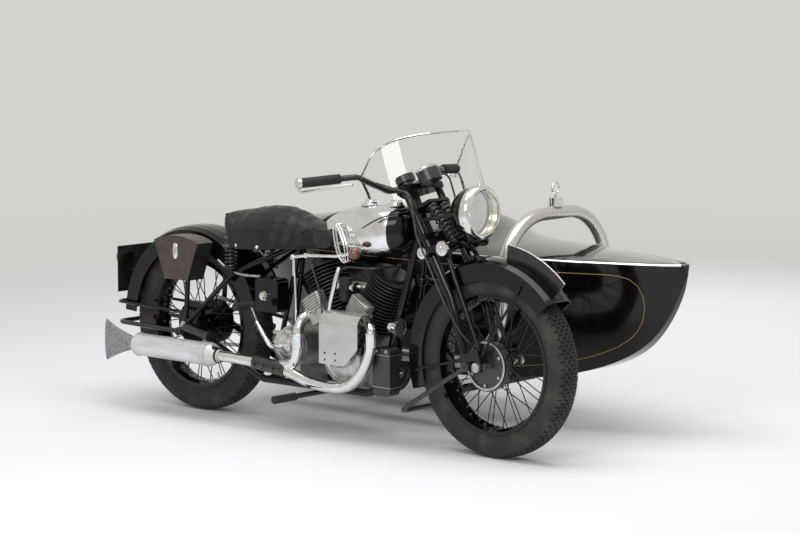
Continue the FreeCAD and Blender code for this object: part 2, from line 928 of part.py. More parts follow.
def cylinder(lean):
    """One finned barrel with its finned head, built as a patterned fin on a core."""
    body = DOC.addObject("PartDesign::Body", "Cylinder")
    core = round_sketch(body, size.barrel_radius)
    pad = body.newObject("PartDesign::Pad", "Core")
    pad.Profile = core
    bind(pad, "Length", size.barrel_length + size.head_length - size.fin_pitch)
    fin = round_sketch(body, size.fin_reach)
    fin_pad = body.newObject("PartDesign::Pad", "Fin")
    fin_pad.Profile = fin
    bind(fin_pad, "Length", size.fin_wall)
    pattern = body.newObject("PartDesign::LinearPattern", "Fins")
    pattern.Originals = [fin_pad]
    pattern.Direction = (fin, ["N_Axis"])
    count = int((float(size.barrel_length) + float(size.head_length)) / float(size.fin_pitch)) - 1
    pattern.Length = float(size.fin_pitch) * (count - 1)
    pattern.Occurrences = count
    body.Tip = pattern
    axis = lean_axis(lean)
    place(body, along_cylinder(lean, size.barrel_start + size.fin_pitch * 2), Rotation(Z_AXIS, axis))
    foot = rod(along_cylinder(lean, size.case_radius * 0.9),
               along_cylinder(lean, size.barrel_start + size.fin_pitch * 3), size.barrel_radius)
    top = size.barrel_start + size.fin_pitch + size.barrel_length + size.head_length
    plug = rod(along_cylinder(lean, top - size.fin_pitch), along_cylinder(lean, top + size.plug_height),
               size.plug_radius)
    room = disc(CRANK, Y_AXIS, size.case_radius + size.seat_gap, size.case_half_width * 4)
    return cut(joined([body, foot, plug]), [room])


def round_sketch(body, radius):
    """A circle about the body's own axis."""
    sketch = body.newObject("Sketcher::SketchObject", "Circle")
    ground = [plane for plane in body.Origin.OriginFeatures if plane.Role == "XY_Plane"]
    sketch.AttachmentSupport = [(ground[0], "")]
    sketch.MapMode = "FlatFace"
    sketch.addGeometry(Part.Circle(Vector(0, 0, 0), Z_AXIS, float(radius)), False)
    sketch.addConstraint(Sketcher.Constraint("Coincident", 0, 3, -1, 1))
    number = sketch.addConstraint(Sketcher.Constraint("Radius", 0, float(radius)))
    sketch.setExpression("Constraints[" + str(number) + "]", radius.text)
    return sketch


def valve_chest(lean):
    """The finned alloy cover over one barrel's side valves."""
    axis = lean_axis(lean)
    start = size.barrel_start + size.chest_radius * 2
    core = rod(along_cylinder(lean, start, -size.chest_side),
               along_cylinder(lean, start + size.chest_length, -size.chest_side), size.chest_radius * 0.75)
    pieces = [core]
    for step in range(6):
        centre = along_cylinder(lean, start + size.fin_wall + size.fin_pitch * step, -size.chest_side)
        pieces.append(disc(centre, axis, size.chest_radius, size.fin_wall))
    return joined(pieces)


def gearbox():
    """The gearbox shell with its round cover on the right."""
    right = -size.gearbox_right
    shell = rod(moved(GEARBOX, side=right), moved(GEARBOX, side=size.gearbox_left), size.gearbox_radius)
    cover = disc(moved(GEARBOX, side=right - size.gearbox_cover_depth / 2), Y_AXIS,
                 size.gearbox_radius * 0.86, size.gearbox_cover_depth)
    shaft = rod(GEARBOX, moved(GEARBOX, side=size.primary_side), size.stem_radius)
    sprocket = disc(moved(GEARBOX, side=size.sprocket_side), Y_AXIS,
                    size.drive_sprocket_radius, size.sprocket_wall)
    lug = engine_lug(size.gearbox_ahead, size.gearbox_up - size.gearbox_radius * 0.9,
                     cradle_side_at(size.gearbox_ahead + size.lug_radius) - size.frame_tube_radius
                     - size.seat_gap)
    subpart("gearbox", [joined([shell, cover, shaft, sprocket, lug])])


def oval(first, first_radius, second, second_radius, count):
    """The outline round two circles, as on a chain case or a chain's run."""
    ahead = float(second[0]) - float(first[0])
    up = float(second[1]) - float(first[1])
    lean = math.degrees(math.atan2(up, ahead))
    spread = math.degrees(math.acos((float(first_radius) - float(second_radius)) / math.hypot(ahead, up)))
    points = []
    for centre, radius, begin, end in (
        (second, second_radius, lean - spread, lean + spread),
        (first, first_radius, lean + spread, lean - spread + 360),
    ):
        for step in range(count + 1):
            turn = math.radians(begin + (end - begin) * step / count)
            points.append((centre[0] + radius * math.cos(turn), centre[1] + radius * math.sin(turn)))
    return points


def primary_case():
    """The pressed case over the primary chain, on the left."""
    crank = (CRANK[0], CRANK[2])
    clutch = (GEARBOX[0], GEARBOX[2])
    outline = oval(clutch, size.primary_clutch_radius, crank, size.primary_crank_radius, 16)
    centre = (0, size.primary_side + size.primary_width / 2, 0)
    subpart("primary_case", [plate(centre, outline, size.primary_width)])


def rear_chain():
    """The rear chain as one closed loop with its own thickness."""
    wheel_centre = (REAR_AXLE[0], REAR_AXLE[2])
    drive_centre = (GEARBOX[0], GEARBOX[2])
    centre = (0, size.sprocket_side, 0)
    gap = size.running_gap * 10
    outer = oval(wheel_centre, size.sprocket_radius + gap + size.chain_wall, drive_centre,
                 size.drive_sprocket_radius + gap + size.chain_wall, 24)
    inner = oval(wheel_centre, size.sprocket_radius + gap, drive_centre, size.drive_sprocket_radius + gap, 24)
    whole = plate(centre, outer, size.chain_width)
    hole = plate(centre, inner, size.chain_width * OVERRUN_SHARE)
    subpart("rear_chain", [cut(whole, [hole])])


# Routes in case radii ahead of the crank and above it, after each pipe has left its port
FRONT_PIPE_SHARES = ((1.78, 1.12), (1.76, 0.41), (1.39, -0.25), (0.75, -0.82), (-0.6, -0.84),
                     (-1.3, -0.62), (-1.84, -0.46), (-3.24, -0.42))
REAR_PIPE_SHARES = ((-1.2, 0.95), (-1.2, 0.1), (-1.75, -0.42))


def pipe_route(lean, shares):
    """A pipe's route: out of its port, then through its own bends."""
    port = along_cylinder(lean, size.barrel_start + size.chest_radius * 2 + size.chest_length * 0.4,
                          -size.chest_side)
    turn = math.radians(abs(lean))
    way = math.cos(turn) if lean > 0 else -math.cos(turn)
    fall = -math.sin(turn)
    route = []
    for reach in (size.chest_radius + size.seat_gap, size.chest_radius + size.pipe_radius):
        route.append(moved(port, ahead=reach * way, up=reach * fall))
    for ahead, up in shares:
        route.append(moved(CRANK, ahead * size.case_radius, -size.pipe_side, up * size.case_radius))
    return route


def exhaust():
    """Two chrome pipes that run into one, with a ring nut at each port."""
    front = pipe_route(CYLINDER_LEAN, FRONT_PIPE_SHARES)
    rear = pipe_route(-CYLINDER_LEAN, REAR_PIPE_SHARES)
    end = (size.silencer_front, -size.silencer_side, size.silencer_up)
    front[-1] = moved(end, ahead=size.pipe_radius * 2)
    pieces = [
        tube(front + [end], size.pipe_radius, size.pipe_bend),
        tube(rear, size.pipe_radius, size.pipe_bend),
    ]
    subpart("exhaust_pipes", [joined(pieces)])


def silencer():
    """The long silencer, coned at both ends, and its flat fishtail."""
    centre = (0, -size.silencer_side, size.silencer_up)
    front = size.silencer_front - size.seat_gap
    outline = [
        (0, front),
        (size.silencer_neck_radius, front),
        (size.silencer_radius, front - size.silencer_taper),
        (size.silencer_radius, size.silencer_rear + size.silencer_taper / 2),
        (size.silencer_neck_radius, size.silencer_rear),
        (0, size.silencer_rear),
    ]
    drum = turned(centre, outline, axis=X_AXIS)
    axle_eye = (size.dropout_radius * 0.5, -size.dropout_side, size.rear_tyre_radius)
    cradle_end = (size.cradle_rear_ahead, -size.cradle_rear_side, size.cradle_up)
    hold = run_point(axle_eye, cradle_end, 0.26)
    strap = rod((hold[0], centre[1], centre[2]), hold, size.stand_pin_radius)
    room = rod(axle_eye, cradle_end, size.frame_tube_radius + size.seat_gap)
    start = size.silencer_rear - size.seat_gap
    neck = size.silencer_neck_radius
    wires = [
        flat_ring((start, centre[1], centre[2]), neck, neck),
        flat_ring((start * 0.6 + size.tail_end * 0.4, centre[1], centre[2]), size.tail_width * 0.4,
                  size.tail_height * 0.25),
        flat_ring((size.tail_end, centre[1], centre[2]), size.tail_width * 0.2, size.tail_height / 2),
    ]
    subpart("silencer", [cut(joined([drum, strap]), [room]), loft(wires)])


def flat_ring(centre, across, up, count=12):
    """An ellipse square to the machine's length."""
    points = []
    for step in range(count):
        turn = math.radians(360 * step / count)
        points.append(vector(moved(centre, side=across * math.cos(turn), up=up * math.sin(turn))))
    return smooth_ring(points)


def shield_outline():
    """The bent sheet seen from the front: its flat side, its rounded top and its inner edge."""
    outer = -size.shield_side
    bend = size.shield_bend
    steps = 6
    near = [(outer, size.shield_bottom)]
    far = [(outer + size.shield_wall, size.shield_bottom)]
    for step in range(steps + 1):
        turn = math.radians(90 * step / steps)
        for points, radius in ((near, bend), (far, bend - size.shield_wall)):
            points.append((outer + bend - radius * math.cos(turn),
                           size.shield_top - bend + radius * math.sin(turn)))
    near.append((-size.shield_inner_side, size.shield_top))
    far.append((-size.shield_inner_side, size.shield_top - size.shield_wall))
    return near + far[::-1]


def ignition_lead(lean, end, route):
    """A lead from a sparking plug to one end of the magneto, along its own bends."""
    top = size.barrel_start + size.fin_pitch + size.barrel_length + size.head_length + size.plug_height
    plug = along_cylinder(lean, top - size.cable_radius,
                          -size.plug_radius - size.cable_radius - size.seat_gap)
    return tube([plug] + route + [end], size.cable_radius, size.cable_bend)


def magneto():
    """The magneto drum and the shield that stands outside it on two posts."""
    drum_start = (size.magneto_ahead, -size.magneto_side, size.magneto_up)
    drum = rod(drum_start, moved(drum_start, ahead=size.magneto_length), size.magneto_radius)
    clear = size.chest_side + size.chest_radius
    behind = size.shield_rear - size.stay_radius
    over = size.tank_bottom - size.lug_radius * OVERRUN_SHARE
    above = moved(drum_start, ahead=-size.seat_gap, up=size.magneto_radius * 0.4)
    below = moved(drum_start, ahead=-size.seat_gap, up=size.magneto_radius * -0.4)
    front_lead = ignition_lead(CYLINDER_LEAN, above, [
        (size.shield_front - size.stay_radius, -size.chest_side, over),
        (size.carburettor_radius + size.crank_ahead, -clear * 0.86, over - size.cable_radius),
        (behind, -clear, size.inlet_up - size.magneto_radius * 2),
        (behind, above[1], above[2]),
    ])
    rear_lead = ignition_lead(-CYLINDER_LEAN, below, [
        (size.tank_rear - size.cap_radius, -clear * 0.72, size.tank_bottom - size.lug_radius * 2),
        (size.tank_rear + size.box_corner * 3, -clear, size.inlet_up - size.box_corner),
        (behind - size.cable_radius * 3, below[1], below[2]),
    ])
    subpart("magneto", [drum, front_lead, rear_lead])
    rear = size.shield_rear
    front = size.shield_front
    sheet = plate(((rear + front) / 2, 0, 0), shield_outline(), front - rear, Rotation(Z_AXIS, 90) * UPRIGHT)
    bevel = size.shield_bend * 1.5
    below = size.shield_bottom - size.shield_wall
    beyond = front + size.shield_wall
    triangle = [(front - bevel, below), (beyond, below), (beyond, size.shield_bottom + bevel)]
    corner = plate((0, -size.shield_side, 0), triangle, size.shield_bend)
    panel = cut(sheet, [corner])
    posts = []
    for place_share in (0.25, 0.75):
        root = moved(drum_start, ahead=size.magneto_length * place_share)
        posts.append(rod(root, moved(root, side=size.magneto_side - size.shield_side + size.shield_wall / 2),
                         size.stand_radius))
    room = rod(moved(drum_start, ahead=-size.magneto_length),
               moved(drum_start, ahead=size.magneto_length * 2), size.magneto_radius + size.seat_gap)
    subpart("magneto_shield", [cut(joined([panel] + posts), [room])])


def carburettor():
    """The carburettor between the cylinders and its cross pipe."""
    centre = (size.crank_ahead, -size.carburettor_radius, size.inlet_up)
    bowl = rod(moved(centre, side=-size.carburettor_radius * 2, up=size.carburettor_height * -0.6),
               moved(centre, side=-size.carburettor_radius * 2, up=size.carburettor_height * 0.4),
               size.carburettor_radius)
    throat = rod(moved(centre, side=-size.carburettor_radius * 2), centre, size.inlet_radius * EYE_SHARE)
    cross = rod(moved(centre, ahead=-size.fin_reach), moved(centre, ahead=size.fin_reach), size.inlet_radius)
    top = size.barrel_start + size.barrel_length + size.head_length
    rooms = [rod(CRANK, along_cylinder(lean, top), size.fin_reach + size.seat_gap)
             for lean in (CYLINDER_LEAN, -CYLINDER_LEAN)]
    subpart("carburettor", [cut(joined([bowl, throat, cross]), rooms)])


def kick_starter():
    """The kick crank and its folding pedal, on the gearbox's right."""
    out = -size.gearbox_right - size.gearbox_cover_depth
    shaft = moved(GEARBOX, ahead=-size.gearbox_radius * 0.3, side=out)
    elbow = moved(shaft, side=size.gearbox_cover_depth * -2)
    knee = moved(elbow, ahead=-size.gearbox_radius * 0.9, side=-size.stand_radius,
                 up=size.gearbox_radius * 1.2)
    foot = moved(knee, ahead=-size.gearbox_radius * 0.45, up=size.gearbox_radius * 0.75)
    arm = tube([shaft, elbow, knee, foot], size.stand_radius, size.lug_radius)
    pedal = rod(moved(foot, side=size.footrest_radius), moved(foot, side=-size.footrest_length * 0.7),
                size.footrest_radius)
    subpart("kick_starter", [joined([arm, pedal])])


# Tank, saddle and boxes

TANK_SHARES = (
    # Share of the length from the rear, half-width, bottom and top as shares of the height
    (0.0, 0.50, 0.22, 0.62),
    (0.16, 0.84, 0.08, 0.82),
    (0.42, 1.0, 0.0, 0.96),
    (0.68, 1.0, 0.0, 1.0),
    (0.88, 0.80, 0.12, 0.98),
    (1.0, 0.34, 0.36, 0.86),
)


def rounded_section(x, half_width, low, high, fullness=2.5, count=16):
    """A smooth closed section between an ellipse and a box, square to the length."""
    middle = (low + high) / 2
    half = (high - low) / 2
    points = []
    for step in range(count):
        turn = math.radians(360 * step / count)
        across = math.copysign(abs(math.cos(turn)) ** (2 / fullness), math.cos(turn))
        up = math.copysign(abs(math.sin(turn)) ** (2 / fullness), math.sin(turn))
        points.append(vector((x, half_width * across, middle + half * up)))
    return smooth_ring(points)


def petrol_tank():
    """The round-nosed tank, with a tunnel for the frame's top tube."""
    length = size.tank_front - size.tank_rear
    height = size.tank_top - size.tank_bottom
    wires = []
    for along, half_width, low, high in TANK_SHARES:
        wires.append(rounded_section(size.tank_rear + length * along, size.tank_half_width * half_width,
                                     size.tank_bottom + height * low, size.tank_bottom + height * high))
    shell = loft(wires)
    lug = (size.saddle_lug_ahead, 0, size.saddle_lug_up)
    head = head_point(size.head_top_along - size.head_radius * 2)
    tunnel = rod(lug, head, size.frame_tube_radius + size.tunnel_gap)
    head_room = rod(head_point(size.head_bottom_along), head_point(size.head_top_along),
                    size.head_radius + size.tunnel_gap)
    subpart("petrol_tank", [cut(shell, [tunnel, head_room])])
    return shell


def filler_caps():
    """Two round caps on the tank's top."""
    pieces = []
    length = size.tank_front - size.tank_rear
    for along, side in ((0.46, -0.45), (0.78, -0.4)):
        foot = (size.tank_rear + length * along, size.tank_half_width * side,
                size.tank_top - size.cap_height * 0.9)
        pieces.append(rod(foot, moved(foot, up=size.cap_height * 1.9), size.cap_radius))
    return pieces


def knee_grips():
    """Rubber knee pads, one on each flank of the tank."""
    pieces = []
    ahead = size.tank_rear + size.knee_length * 0.6
    up = size.tank_bottom * 0.68 + size.tank_top * 0.32
    for side in BOTH_SIDES:
        centre = (ahead, size.tank_half_width * side, up)
        pieces.append(block(centre, size.knee_length, size.knee_wall * 2, size.knee_height, size.box_corner))
    return pieces


SADDLE_SHARES = (
    # Share of the length from the rear, half-width, bottom and top as shares of the height
    (0.0, 0.62, 0.50, 0.74),
    (0.10, 0.92, 0.18, 0.88),
    (0.32, 1.0, 0.03, 0.97),
    (0.52, 0.88, 0.055, 1.0),
    (0.72, 0.58, 0.06, 0.90),
    (0.90, 0.40, 0.10, 0.72),
    (1.0, 0.34, 0.16, 0.64),
)


def saddle_channel():
    """The room under the saddle, whose roof follows the frame's lug and top tube."""
    rear = size.saddle_rear - size.lug_radius
    front = size.saddle_front + size.lug_radius
    low = size.saddle_bottom - size.saddle_channel_half
    lug_roof = size.saddle_lug_up + size.lug_radius + size.saddle_channel_room
    head = head_point(size.head_top_along - size.head_radius * 2)
    rise = (float(head[2]) - float(size.saddle_lug_up)) / (float(head[0]) - float(size.saddle_lug_ahead))
    front_roof = lug_roof + (front - size.saddle_lug_ahead) * rise
    outline = [(rear, low), (front, low), (front, front_roof),
               (size.saddle_lug_ahead, lug_roof), (rear, lug_roof)]
    return plate((0, 0, 0), outline, size.saddle_channel_half * 2)


def saddle():
    """The sprung leather saddle, a deep skirt either side of the frame's top tube."""
    length = size.saddle_front - size.saddle_rear
    height = size.saddle_top - size.saddle_bottom
    wires = []
    for along, half_width, low, high in SADDLE_SHARES:
        wires.append(rounded_section(size.saddle_rear + length * along, size.saddle_half_width * half_width,
                                     size.saddle_bottom + height * low, size.saddle_bottom + height * high))
    seat = cut(loft(wires), [saddle_channel()])
    subpart("saddle", [seat])
    return seat


def wavy_spring(foot, head, radius, waves):
    """A coil spring's outer form, a bar that swells at each turn."""
    run = vector(head) - vector(foot)
    pitch = run.Length / waves
    outline = [(0, 0)]
    for turn in range(waves):
        outline.append((radius * 0.8, pitch * turn))
        outline.append((radius, pitch * (turn + 0.5)))
    outline += [(radius * 0.8, run.Length), (0, run.Length)]
    return turned(foot, outline, axis=run)


def saddle_springs(seat):
    """The springs between the frame's perches and the saddle, and the saddle's nose bolt."""
    pieces = []
    seat = shifted(seat, up=-size.seat_gap)
    for side in BOTH_SIDES:
        foot = (size.saddle_spring_ahead, size.saddle_spring_side * side, size.saddle_spring_bottom)
        head = (size.saddle_spring_ahead, size.saddle_spring_side * side,
                size.saddle_bottom + size.lug_radius * 4)
        pieces.append(cut(wavy_spring(foot, head, size.saddle_spring_radius, 7), [seat]))
    lug = (size.saddle_lug_ahead, 0, size.saddle_lug_up)
    head = head_point(size.head_top_along - size.head_radius * 2)
    foot = run_point(lug, head, 0.14)
    tube_room = rod(lug, head, size.frame_tube_radius + size.seat_gap)
    bolt = rod(foot, moved(foot, up=size.lug_radius * 2), size.nut_radius)
    pieces.append(cut(bolt, [seat, tube_room]))
    subpart("saddle_springs", pieces)


def boxes():
    """The side box, the battery box and the horn, each on its bracket."""
    centre = (size.oil_tank_ahead, -size.oil_tank_side, size.oil_tank_up)
    side_box = block(centre, size.oil_tank_length, size.oil_tank_width, size.oil_tank_height, size.box_corner)
    start, end = rear_post(-1)
    share = (float(size.saddle_lug_up) - float(size.oil_tank_up)) / (
        float(size.saddle_lug_up) - float(size.cradle_up))
    bracket = rod(run_point(start, end, share), centre, size.leg_radius)
    room = rod(start, end, size.stay_radius + size.seat_gap)
    subpart("oil_tank", [cut(joined([side_box, bracket]), [room])])
    side = size.cradle_side + size.frame_tube_radius + size.seat_gap + size.battery_width / 2
    battery = block((size.battery_ahead, -side, size.battery_up), size.battery_length,
                    size.battery_width, size.battery_height, size.box_corner)
    subpart("battery_box", [battery])
    horn_back = (size.horn_ahead, -size.horn_side, size.horn_up)
    bell = cone(horn_back, moved(horn_back, ahead=size.horn_length / 2),
                size.horn_radius * 0.8, size.horn_radius)
    case = rod(moved(horn_back, ahead=size.horn_length * -0.5), horn_back, size.horn_radius * 0.6)
    start, end = down_tube(-1)
    share = (float(start[2]) - float(size.horn_up)) / (float(start[2]) - float(end[2]))
    stalk = rod(moved(horn_back, ahead=size.horn_length * -0.3), run_point(start, end, share),
                size.stand_pin_radius)
    room = rod(start, end, size.frame_tube_radius + size.seat_gap)
    subpart("horn", [cut(joined([bell, case, stalk]), [room])])


def toolbox_outline(low, high):
    """The box's tapered side between two heights."""
    span = size.toolbox_top - size.toolbox_bottom

    def half(up):
        share = (float(up) - float(size.toolbox_bottom)) / float(span)
        return (size.toolbox_bottom_width * (1 - share) + size.toolbox_top_width * share) / 2

    middle = size.toolbox_ahead
    return [(middle - half(low), low), (middle + half(low), low), (middle + half(high), high),
            (middle - half(high), high)]


def toolboxes():
    """Tapered boxes either side of the rear mudguard, each with a hinged lid."""
    boxes_made = []
    seam = size.toolbox_seam
    wall = size.toolbox_wall
    for side, name in ((-1, "toolbox_lid_right"), (1, "toolbox_lid_left")):
        inner = size.dropout_side + size.stay_radius + size.seat_gap
        centre = (0, (inner + size.toolbox_depth / 2) * side, 0)
        outer = plate(centre, toolbox_outline(size.toolbox_bottom, seam), size.toolbox_depth)
        room = plate(moved(centre, up=wall), inset(toolbox_outline(size.toolbox_bottom, seam)),
                     size.toolbox_depth - wall * 2)
        back = plate((0, (inner + wall / 2) * side, 0), lid_outline(seam - wall), wall)
        boxes_made.append(joined([cut(outer, [room]), back]))
        lid_depth = size.toolbox_depth - wall - size.seat_gap
        lid_centre = (0, (inner + size.toolbox_depth - lid_depth / 2) * side, 0)
        subpart(name, [plate(lid_centre, lid_outline(seam + size.seat_gap), lid_depth)])
    subpart("toolboxes", boxes_made)


LID_STEPS = 8


def lid_outline(low):
    """The domed side of the lid, from a height up."""
    rise = size.box_corner * 1.4
    sides = toolbox_outline(low, size.toolbox_top - rise)
    crown = []
    for step in range(1, LID_STEPS):
        across = 1 - 2 * step / LID_STEPS
        crown.append((size.toolbox_ahead + size.toolbox_top_width * 0.5 * across,
                      size.toolbox_top - rise * across ** 2))
    return sides[:3] + crown + sides[3:]


def inset(outline):
    """The box's side outline drawn in by its wall, open at the top."""
    wall = size.toolbox_wall
    return [(outline[0][0] + wall, outline[0][1]), (outline[1][0] - wall, outline[1][1]),
            (outline[2][0] - wall, outline[2][1] + wall), (outline[3][0] + wall, outline[3][1] + wall)]


def rear_guard():
    """The rear mudguard, its number plate, lamp and lifting handle."""
    guard = mudguard(REAR_AXLE, size.rear_tyre_radius, size.rear_guard_half_width, 20, 176)
    crown = size.rear_tyre_radius + size.guard_gap + size.guard_crown
    subpart("rear_mudguard", [guard])
    face = size.rear_plate_back
    centre = (face + size.rear_plate_wall / 2, 0, size.rear_plate_bottom + size.rear_plate_height / 2)
    board = block(centre, size.rear_plate_wall, size.rear_plate_width, size.rear_plate_height)
    inner_face = face + size.rear_plate_wall
    arms = []
    for up_share in (0.12, 0.4):
        up = size.rear_plate_bottom + size.rear_plate_height * up_share
        arms.append(rod((inner_face, 0, up), (-size.rear_tyre_radius, 0, up), size.stay_radius))
    holes = [disc(REAR_AXLE, Y_AXIS, crown + size.seat_gap, size.rear_plate_width)]
    for side in BOTH_SIDES:
        hole = (face, size.plate_bolt_side * side, size.rear_plate_bottom + size.lug_radius)
        holes.append(rod(moved(hole, ahead=-size.rear_plate_wall),
                         moved(hole, ahead=size.rear_plate_wall * 2), size.plate_bolt_radius))
    subpart("rear_plate", [cut(joined([board] + arms), holes)])
    lamp_centre = (face, -size.rear_plate_width * 0.27,
                   size.rear_plate_bottom + size.rear_plate_height * 0.74)
    lens = rod(lamp_centre, moved(lamp_centre, ahead=-size.tail_lamp_length * 0.5), size.tail_lamp_radius)
    case_foot = moved(lamp_centre, ahead=size.rear_plate_wall)
    case = rod(case_foot, moved(case_foot, ahead=size.tail_lamp_length * 0.5), size.tail_lamp_radius * 0.8)
    subpart("tail_lamp", [lens, case])


# Fork and everything that steers

def leg_route(side):
    """The foot, bend and head of one rigid leg."""
    return (on_fork(size.leg_foot_ahead, size.leg_side * side, size.leg_foot_along),
            on_fork(size.leg_top_ahead, size.leg_side * side, size.leg_foot_along + size.leg_side * 2),
            on_fork(size.leg_top_ahead * 0.95, size.leg_side * side, size.head_top_along + size.crown_wall))


def fork_legs():
    """The rigid legs with their crowns and the stem that turns in the head."""
    low = size.head_bottom_along - size.crown_wall / 2 - size.seat_gap
    high = size.head_top_along + size.crown_wall / 2 + size.seat_gap
    pieces = [rod(on_fork(0, 0, low), on_fork(0, 0, high + size.crown_wall), size.stem_radius)]
    for along, ahead in ((low, size.leg_top_ahead), (high, size.leg_top_ahead * 0.9)):
        edge = size.leg_side + size.leg_radius * 1.3
        front = ahead + size.leg_radius * 1.3
        outline = [
            (-size.crown_depth * 0.6, -size.head_radius),
            (ahead * 0.5, -edge),
            (front, -edge),
            (front, edge),
            (ahead * 0.5, edge),
            (-size.crown_depth * 0.6, size.head_radius),
        ]
        pieces.append(plate(on_fork(0, 0, along), outline, size.crown_wall, Rotation(Y_AXIS, -RAKE)))
    axis, lean = spring_lean()
    lift = size.hanger_wall / 2 + size.seat_gap
    hanger = moved(spring_ends(0)[1], axis.x * lift, 0, axis.z * lift)
    front = size.spring_radius * 1.1
    narrow = size.spring_side + size.spring_radius
    back = size.leg_top_ahead * -0.8
    wide = size.leg_side + size.leg_radius * 0.6
    shape = [(back, -wide), (back + size.leg_radius * 2, -wide), (front, -narrow), (front, narrow),
             (back + size.leg_radius * 2, wide), (back, wide)]
    pieces.append(plate(hanger, shape, size.hanger_wall, Rotation(Y_AXIS, -lean)))
    for side in BOTH_SIDES:
        foot, knee, top = leg_route(side)
        pieces.append(tube([foot, knee, top], size.leg_radius, size.pipe_bend * 4))
        pieces.append(disc(foot, Y_AXIS, size.leg_radius * 1.3, size.leg_radius * 2 * EYE_SHARE))
    subpart("fork_legs", [joined_in_turn(pieces), friction_damper(-1), friction_damper(1)])


def friction_damper(side):
    """The two friction discs and their link, between a rigid leg and the spring fork's head plate."""
    rear = on_fork(size.leg_top_ahead, 0, size.friction_along)
    front = spring_plate_centre()
    middle = size.friction_disc_side * side
    outer = middle + size.friction_disc_wall / 2 * side
    link = oval((rear[0], rear[2]), size.stay_radius * EYE_SHARE, (front[0], front[2]), size.stay_radius, 6)
    pieces = [plate((0, outer + size.hanger_wall / 4 * side, 0), link, size.hanger_wall / 2)]
    spring_face = size.spring_side + size.spring_radius + size.seat_gap
    for centre, root in ((rear, size.leg_side), (front, spring_face)):
        pieces.append(disc(moved(centre, side=middle), Y_AXIS,
                           size.friction_disc_radius, size.friction_disc_wall))
        pieces.append(rod(moved(centre, side=root * side), moved(centre, side=middle),
                          size.stay_radius * 0.7))
    knee, top = leg_route(side)[1:]
    return cut(joined(pieces), [rod(knee, top, size.leg_radius + size.seat_gap)])


def spring_plate_centre():
    """The middle of the plate under the fork springs."""
    axis = spring_lean()[0]
    drop = size.hanger_wall / -2 - size.seat_gap
    return moved(spring_ends(0)[0], axis.x * drop, 0, axis.z * drop)


def spring_ends(side):
    """The foot and head of one fork spring."""
    return (on_fork(size.spring_foot_ahead, size.spring_side * side, size.spring_foot_along),
            on_fork(size.spring_head_ahead, size.spring_side * side, size.spring_head_along))


def spring_lean():
    """The fork springs' axis and its lean in degrees."""
    foot, head = spring_ends(0)
    run = vector(head) - vector(foot)
    return run.normalize(), math.degrees(math.atan2(-run.x, run.z))


def rocker_side():
    """How far out the middle of each rocker plate stands."""
    return size.leg_side + size.leg_radius * EYE_SHARE + size.dropout_wall / 2 + size.seat_gap


def spring_fork():
    """The slim front legs, their head plate and the rockers that carry the axle ahead of the rigid legs."""
    axis, lean = spring_lean()
    drop = size.hanger_wall / -2 - size.seat_gap
    plate_centre = spring_plate_centre()
    wide = size.spring_side + size.spring_radius
    deep = size.spring_radius * 1.1
    shape = [(-deep, -wide), (deep, -wide), (deep, wide), (-deep, wide)]
    pieces = [plate(plate_centre, shape, size.hanger_wall, Rotation(Y_AXIS, -lean))]
    pivot = on_fork(size.leg_foot_ahead, 0, size.leg_foot_along)
    front = on_fork(size.spring_leg_foot_ahead, 0, size.spring_leg_foot_along)
    reach = size.leg_radius * 1.2
    links = []
    for side in BOTH_SIDES:
        foot = on_fork(size.spring_leg_foot_ahead, size.spring_leg_side * side, size.spring_leg_foot_along)
        top = on_fork(size.spring_leg_top_ahead, size.spring_leg_side * side, size.spring_leg_top_along)
        head = moved(plate_centre, axis.x * drop, size.spring_side * side, axis.z * drop)
        pieces.append(tube([foot, top, head], size.spring_leg_radius, size.pipe_bend))
        outline = [
            (pivot[0] - reach, pivot[2] - reach * 0.4),
            (FRONT_AXLE[0] - reach, FRONT_AXLE[2] - reach),
            (FRONT_AXLE[0] + reach, FRONT_AXLE[2] - reach),
            (FRONT_AXLE[0] + reach, FRONT_AXLE[2] + reach),
            (front[0] + reach, front[2] + reach),
            (pivot[0] - reach * 0.4, pivot[2] + reach),
        ]
        links.append(plate((0, rocker_side() * side, 0), outline, size.dropout_wall))
        links.append(rod(foot, moved(front, side=rocker_side() * side), size.stay_radius))
        links.append(rod(moved(front_stand_pivot(), side=rocker_side() * side),
                         moved(front_stand_pivot(), side=(size.front_stand_side + size.stand_radius) * side),
                         size.stand_pin_radius))
    half = rocker_side() + size.dropout_wall / 2
    subpart("front_axle", [joined(axle_bar(FRONT_AXLE, -half, half))])
    eye = rod(moved(FRONT_AXLE, side=half * -OVERRUN_SHARE), moved(FRONT_AXLE, side=half * OVERRUN_SHARE),
              size.axle_radius)
    subpart("spring_fork", [cut(joined_in_turn(pieces + links), [eye])])


def brake_face():
    """The side of the brake plate's face, with room for a cable's end on it."""
    inner = -size.hub_flange_side - size.drum_width + size.hub_flange_wall
    return inner - size.clearance - size.rim_wall - size.cable_radius


def front_brake_plate():
    """The dished plate that closes the front brake drum."""
    inner = -size.hub_flange_side - size.drum_width + size.hub_flange_wall
    brake = [
        (size.axle_radius, inner - size.clearance / 2),
        (size.drum_radius + size.rim_wall, inner - size.clearance / 2),
        (size.drum_radius + size.rim_wall, inner - size.clearance / 2 - size.rim_wall),
        (size.axle_radius * 2, inner - size.clearance * 2),
        (size.axle_radius, inner - size.clearance * 2),
    ]
    subpart("front_brake_plate", [turned(FRONT_AXLE, brake)])


def fork_springs():
    """The two coil springs ahead of the steering head."""
    pieces = []
    for side in BOTH_SIDES:
        foot, head = spring_ends(side)
        pieces.append(wavy_spring(foot, head, size.spring_radius, 7))
    subpart("fork_springs", pieces)


BAR_SHARES = (
    # Ahead, side and along as shares of the grip's reach, from the stem's top
    (0.0, 0.0, 0.0),
    (-0.12, 0.12, 0.0),
    (-0.05, 0.54, 0.15),
    (-0.24, 1.0, 0.22),
)


